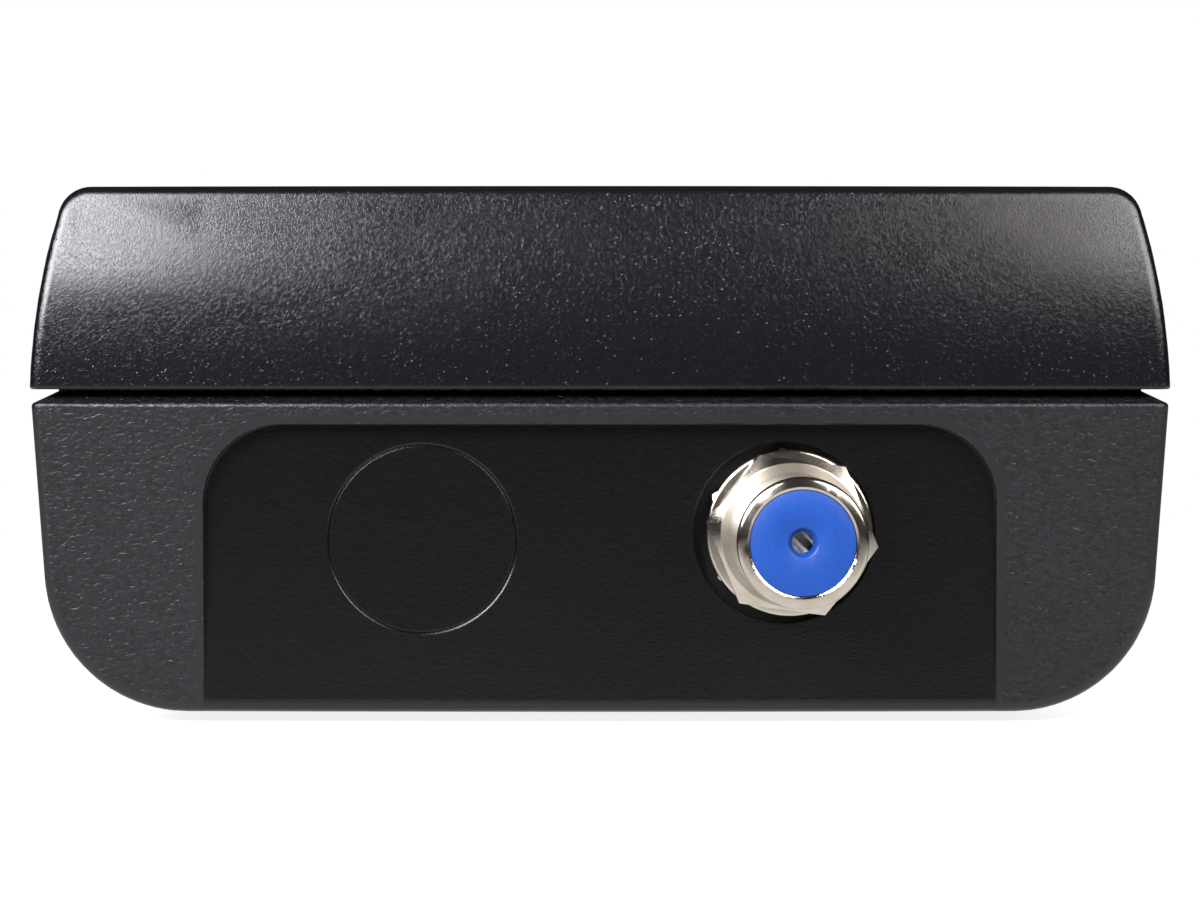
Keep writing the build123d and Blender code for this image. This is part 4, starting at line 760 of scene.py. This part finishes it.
def modelLockWasher(look):  # a flat ring whose teeth are drawn out and twisted one by one, at the +X side
    radius, bore, root, thin, teeth = (look[key] for key in ("radius", "bore", "root", "thin", "teeth"))
    face, _, thick = bodySize("lock_washer")
    face.y += (thick - thin) / 2 * mm
    step = math.tau / teeth
    washer = turned(face, [(bore, 0), (root, 0), (root, thin), (bore, thin)], closed=True,
                    steps=teeth * look["stepsPerTooth"])
    editAll(washer)
    bpy.ops.transform.rotate(value=step / look["stepsPerTooth"] / 2, orient_axis="Y", center_override=face)
    leaveEdit()
    outEnd = face + Vector((radius * mm, thin * mm / 2, 0))
    drawn, twist = (radius - root - look["toothShort"]) * mm, math.radians(look["toothTwist"])
    for tooth in range(teeth):
        editAll(washer)
        bpy.ops.transform.rotate(value=step, orient_axis="Y", center_override=face)
        bpy.ops.mesh.select_all(action="DESELECT")
        leaveEdit()
        for side in washer.data.polygons:  # the rim's sides at +X
            away = washer.matrix_world @ side.center - face
            atRoot = abs(away.x / mm - root) < look["reach"]
            side.select = atRoot and abs(away.z) < root * mm * step * look["toothShare"]
        bpy.ops.object.mode_set(mode="EDIT")
        bpy.ops.mesh.extrude_region_move(TRANSFORM_OT_translate={"value": (drawn, 0, 0)})
        bpy.ops.transform.rotate(value=twist, orient_axis="X", center_override=outEnd)
        leaveEdit()
    return washer


jamNutLook = {"length": 3.0, "turn": 34.0, "bore": 4.75, "boreChamfer": 0.2, "spare": 0.3}


def modelJamNut(look):
    start = (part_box("jam_nut")[0].y - tip.y) / mm
    length, bore, chamfer, spare = look["length"], look["bore"], look["boreChamfer"], look["spare"]
    front, end = start - spare, start + length + chamfer
    nut = hexPrism(hexLook, start, length, look["turn"], backChamfer=True)
    combine(nut, turned(tip, [(0, front), (bore + spare + chamfer, front), (bore, start + chamfer),
                              (bore, end), (0, end)]), "DIFFERENCE")
    return nut


connectorPieces = [
    ("turnedBarrel", modelBarrel, barrelLook, "f_barrel", "nickel_plated_brass", 32),
    ("mouldedInsulator", modelInsulator, insulatorLook, "f_insulator_front", "blue_dielectric", 40),
    ("contactLeaves", modelContact, contactLook, "f_contact", "plated_contact", 40),
    ("stampedFlatWasher", modelFlatWasher, flatWasherLook, "flat_washer", "nickel_plated_brass", 40),
    ("toothedLockWasher", modelLockWasher, lockWasherLook, "lock_washer", "nickel_plated_brass", 25),
    ("hexJamNut", modelJamNut, jamNutLook, "jam_nut", "nickel_plated_brass", 32),
]
for name, model, look, node, slot, smooth in connectorPieces:
    piece = done(model(look), name, slotMaterial(slot), smooth)
    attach(piece, "meter")
    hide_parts(node)
    print("connector piece", name, len(piece.data.polygons), "faces")


# Keys: the CAD solid with a finger dish sunk in its top, and a printed symbol on the dish's flat middle

keyLook = {
    "rim": 0.75, "dish": 0.16, "flat": 0.65, "wall": (0, 0.25, 0.5, 0.75, 1, 1.2), "steps": 72, "smooth": 30,
    "ringRadius": 15.7, "ringAcross": 6.6, "ringAlong": 3.7,  # dishes of the four keys round the middle one
}
inkLook = {"thick": 0.02, "corner": 0.08, "ringSteps": 48, "overlaySink": 0.3, "figure": 3.4, "arrow": 1.7}


def copyOf(node):  # a merged copy of a CAD mesh, which may be reshaped
    piece = bpy.data.objects.new(node, nodes[node].data.copy())
    scene.collection.objects.link(piece)
    editAll(piece)
    bpy.ops.mesh.remove_doubles(threshold=weld)
    bpy.ops.mesh.customdata_custom_splitnormals_clear()
    bpy.ops.mesh.select_all(action="DESELECT")
    leaveEdit()
    return piece


def dishTool(place, halfX, halfY, turn):  # a bowl of unit size, stretched to the key and stood on its top
    flat, depth = keyLook["flat"], keyLook["dish"]
    wall = [(flat + (1 - flat) * t, depth * (t * t - 1)) for t in keyLook["wall"]]
    points = [(0, -depth)] + wall + [(wall[-1][0], depth * 2), (0, depth * 2)]
    tool = turned((0, 0, 0), points, steps=keyLook["steps"])
    tool.scale = (halfX, 1, halfY)
    tool.rotation_euler = (math.pi / 2, 0, turn)
    tool.location = place
    return tool


def dishedKey(node, centre, turn):
    low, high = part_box(node)
    halfX, halfY = ((high[i] - low[i]) / 2 / mm - keyLook["rim"] for i in (0, 1))
    if centre != middle(node).xy:
        halfX, halfY = keyLook["ringAcross"], keyLook["ringAlong"]
    piece = copyOf(node)
    combine(piece, dishTool((centre.x, centre.y, high[2]), halfX, halfY, turn), "DIFFERENCE")
    return piece


def inkCut(width, height, x, y, turn):  # flat ink, its upright edges rounded as ink draws back from a corner
    piece = bpy.context.object
    piece.scale = (width * mm, height * mm, inkLook["thick"] * mm)
    only(piece)
    bpy.ops.object.transform_apply(location=False, rotation=False, scale=True)
    editAll(piece)
    bpy.ops.mesh.select_mode(type="EDGE")
    bpy.ops.mesh.select_all(action="DESELECT")
    leaveEdit()
    for line in piece.data.edges:
        a, b = (piece.data.vertices[i].co for i in line.vertices)
        line.select = abs(a.z - b.z) > inkLook["thick"] / 2 * mm
    bpy.ops.object.mode_set(mode="EDIT")
    bpy.ops.mesh.bevel(offset=inkLook["corner"] * mm, segments=3)
    bpy.ops.mesh.select_mode(type="VERT")
    leaveEdit()
    piece.rotation_euler = (0, 0, math.radians(turn))
    piece.location = (x * mm, y * mm, 0)
    return piece


def inkBar(x, y, width, height, turn=0):
    bpy.ops.mesh.primitive_cube_add(size=1)
    return inkCut(width, height, x, y, turn)


def inkArrow(turn):  # a filled triangle; turn 0 points up
    bpy.ops.mesh.primitive_cylinder_add(vertices=3, radius=1, depth=1)
    return inkCut(inkLook["arrow"], inkLook["arrow"], 0, 0, turn)


def inkRing(x, y, radius, width, angle=360, start=0):  # clockwise from the start, as the spin runs
    half = inkLook["thick"] / 2
    band = [(radius - width, -half), (radius, -half), (radius, half), (radius - width, half)]
    piece = turned((0, 0, 0), band, closed=True, steps=inkLook["ringSteps"], angle=angle)
    if angle < 360:
        editAll(piece)
        bpy.ops.mesh.fill_holes(sides=0)
        bpy.ops.mesh.normals_make_consistent(inside=False)
        leaveEdit()
    piece.rotation_euler = (math.pi / 2, 0, math.radians(start))
    piece.location = (x * mm, y * mm, 0)
    return piece


def inkFigure(text):
    bpy.ops.object.text_add(location=(0, 0, 0))
    piece = bpy.context.object
    piece.data.body = text
    piece.data.size = inkLook["figure"] * mm
    piece.data.align_x = "CENTER"
    piece.data.align_y = "CENTER"
    piece.data.extrude = inkLook["thick"] / 2 * mm
    bpy.ops.object.convert(target="MESH")
    return piece


def inked(shapes, name, material, place, body):  # one print of flat shapes, to read with the connector up
    bpy.ops.object.select_all(action="DESELECT")
    for shape in shapes:
        shape.select_set(True)
    bpy.context.view_layer.objects.active = shapes[0]
    if len(shapes) > 1:
        bpy.ops.object.join()
    piece = bpy.context.object
    only(piece)
    bpy.ops.object.transform_apply()
    piece.rotation_euler = (0, 0, math.pi)
    piece.location = place
    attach(done(piece, name, material), body)


keySymbols = {
    "soft_key_4": lambda: [inkFigure("1")],  # from left to right with the connector up
    "soft_key_3": lambda: [inkFigure("2")],
    "soft_key_2": lambda: [inkFigure("3")],
    "soft_key_1": lambda: [inkFigure("4")],
    "ok_key": lambda: [inkRing(0, 0, 3.0, 0.6)],
    "up_key": lambda: [inkArrow(0)],
    "down_key": lambda: [inkArrow(180)],
    "left_key": lambda: [inkArrow(90)],
    "right_key": lambda: [inkArrow(-90)],
    "menu_key": lambda: [inkBar(0, y, 3.4, 0.45) for y in (-1.1, 0, 1.1)],
    "exit_key": lambda: [inkBar(0, 0, 3.6, 0.45, turn) for turn in (45, -45)],
    "find_key": lambda: [inkRing(-0.35, 0.35, 1.3, 0.4), inkBar(1.2, -1.2, 1.9, 0.5, -45)],
    "power_key": lambda: [inkRing(0, 0, 1.6, 0.4, 300, 60), inkBar(0, 1.25, 0.42, 1.5)],
}
ringCentre = middle("ok_key").xy
for node, symbol in keySymbols.items():
    centre, turn = middle(node).xy, 0.0
    if node in ("up_key", "down_key", "left_key", "right_key"):  # at the middle of its ring segment
        away = (centre - ringCentre).normalized()
        centre, turn = ringCentre + away * keyLook["ringRadius"] * mm, math.atan2(away.x, -away.y)
    piece = done(dishedKey(node, centre, turn), node + "_moulded", "keyAbs", keyLook["smooth"])
    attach(piece, node)
    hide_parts(node)
    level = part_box(node)[1].z - (keyLook["dish"] - inkLook["thick"] / 2) * mm
    inked(symbol(), node + "_symbol", "legendInk", (centre.x, centre.y, level), node)
print("keys made")


# Prints on the overlay: a ring round the middle keys, a frame round the window, and a mark by each LED

printLook = {
    "line": 0.35, "ringRadius": 22.6, "frameX": 35.4, "frameY": 28.0, "frameWide": 69.0, "frameHigh": 56.0,
    "marksAcross": (10, 0, -10), "marksAbove": 3.4,
}
markShapes = {
    "batteryPrint": lambda: [inkBar(0, 0, 3.0, 1.5), inkBar(1.7, 0, 0.4, 0.8)],
    "lockPrint": lambda: [inkRing(0, 0, 1.0, 0.3), inkRing(0, 0, 0.35, 0.2)],
    "levelPrint": lambda: [inkBar(x, y, 0.45, high) for x, y, high in ((-0.9, -0.45, 0.7), (0, -0.2, 1.2),
                                                                       (0.9, 0.05, 1.7))],
}


def overlayPrints(look):
    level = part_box("front_overlay")[1].z + inkLook["overlaySink"] * inkLook["thick"] * mm
    window, leds, keys = middle("display_window"), middle("light_pipes"), middle("ok_key")
    line = look["line"]
    ring = [inkRing(0, 0, look["ringRadius"], line)]
    inked(ring, "navRingPrint", "greyInk", (keys.x, keys.y, level), "meter")
    edge = [inkBar(0, side * look["frameY"], look["frameWide"], line) for side in (-1, 1)]
    edge += [inkBar(side * look["frameX"], 0, line, look["frameHigh"]) for side in (-1, 1)]
    inked(edge, "windowPrint", "greyInk", (window.x, window.y, level), "meter")
    for (name, shapes), x in zip(markShapes.items(), look["marksAcross"]):
        inked(shapes(), name, "legendInk", (x * mm, leds.y + look["marksAbove"] * mm, level), "meter")


overlayPrints(printLook)
print("prints made")


# Stage: a white sweep, two softboxes and the room, with the photo's camera

# the floor in metres, its drop in mm
floorLook = {"size": 6.0, "drop": 0.05, "albedo": 0.3, "shadow": 0.16, "shadowFrom": 0.1, "shadowTo": 0.24}
worldLook = {"soft": 0.12, "skyMirrored": 0.04, "tableMirrored": 1.0, "tableSlope": -0.33}
lightLook = {  # in metres and degrees
    "leftSoftbox": dict(azimuth=-41.5, elevation=29, roll=14, radiance=22, tint=(0.985, 0.99, 1.035)),
    "rightSoftbox": dict(azimuth=43.5, elevation=30, roll=-10, radiance=9.5, tint=(1.03, 0.99, 1.0)),
    "shared": dict(aim=(0, -0.075, 0.03), away=1.0, size=(0.83, 0.44)),
}
# the camera in mm, its clip range in metres
cameraLook = {"away": 225.0, "height": 25.25, "lens": 89.76, "shift": -0.05, "clip": (0.01, 20)}
white = (1, 1, 1, 1)


def rays(tree):  # the light path, and 1 for what the camera sees, straight or through clear pieces
    path = add(tree, "LightPath")
    kinds = [path.outputs["Is Camera Ray"], path.outputs["Is Transmission Ray"]]
    return path, add(tree, "Math", kinds, operation="MAXIMUM")


def makeFloor(look):  # white to the camera, a little darker near the object, where it takes the shadow
    bpy.ops.mesh.primitive_plane_add(size=look["size"], location=(0, 0, -look["drop"] * mm))
    floor = bpy.context.object
    floor.name = "floor"
    material, tree, place = startMaterial("whiteSweep")
    away = add(tree, "VectorMath", [place], operation="LENGTH")
    near = add(tree, "MapRange", [away, look["shadowFrom"], look["shadowTo"], 1.0, 0.0])
    path, seen = rays(tree)
    dimmed = add(tree, "Math", [near, look["shadow"]], operation="MULTIPLY")
    level = add(tree, "Math", [1.0, dimmed], operation="SUBTRACT")
    strength = add(tree, "Math", [seen, level], operation="MULTIPLY")
    glow = add(tree, "Emission", {"Color": white, "Strength": strength})
    albedo = add(tree, "Math", [near, look["albedo"]], operation="MULTIPLY")
    lit = add(tree, "BsdfDiffuse", {"Color": albedo})
    add(tree, "OutputMaterial", {"Surface": add(tree, "AddShader", [lit, glow])})
    floor.data.materials.append(material)
    floor.visible_glossy = False  # the world's lower half stands for the lit table in reflections


def makeWorld(look):  # white to the camera; in reflections a dark room over a table that brightens downwards
    world = bpy.data.worlds.new("studio")
    scene.world = world
    world.use_nodes = True
    tree = world.node_tree
    tree.nodes.clear()
    path, seen = rays(tree)
    direction = add(tree, "TexCoord").outputs["Generated"]
    up = add(tree, "SeparateXYZ", [direction]).outputs[2]
    table = add(tree, "MapRange", [up, look["tableSlope"], 0.0, look["tableMirrored"],
                                   look["skyMirrored"]])
    unseen = add(tree, "Mix", {0: path.outputs["Is Glossy Ray"], 2: look["soft"], 3: table},
                 data_type="FLOAT")
    level = add(tree, "Mix", {0: seen, 2: unseen, 3: 1.0}, data_type="FLOAT")
    sky = add(tree, "Background", {"Color": white, "Strength": level})
    add(tree, "OutputWorld", {"Surface": sky})


def makeLight(name, look):
    azimuth, elevation, roll = (math.radians(look[key]) for key in ("azimuth", "elevation", "roll"))
    toward = Vector((math.sin(azimuth) * math.cos(elevation), -math.cos(azimuth) * math.cos(elevation),
                     math.sin(elevation)))
    width, height = look["size"]
    data = bpy.data.lights.new(name, "AREA")
    data.shape = "RECTANGLE"
    data.size, data.size_y = width, height
    data.color = look["tint"]
    data.energy = math.pi * width * height * look["radiance"]
    light = bpy.data.objects.new(name, data)
    scene.collection.objects.link(light)
    light.location = Vector(look["aim"]) + toward * look["away"]
    light.rotation_euler = (toward.to_track_quat("Z", "Y") @ Quaternion((0, 0, 1), roll)).to_euler()
    light.visible_camera = False


def makeCamera(look):
    data = bpy.data.cameras.new("camera")
    data.lens, data.shift_y = look["lens"], look["shift"]
    data.clip_start, data.clip_end = look["clip"]
    camera = bpy.data.objects.new("camera", data)
    scene.collection.objects.link(camera)
    camera.location = (0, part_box("rear_cover")[0].y - look["away"] * mm, look["height"] * mm)
    camera.rotation_euler = (math.pi / 2, 0, 0)
    scene.camera = camera


makeFloor(floorLook)
makeWorld(worldLook)
for name in ("leftSoftbox", "rightSoftbox"):
    makeLight(name, {**lightLook["shared"], **lightLook[name]})
makeCamera(cameraLook)
scene.view_settings.view_transform = "Standard"
print("stage set")
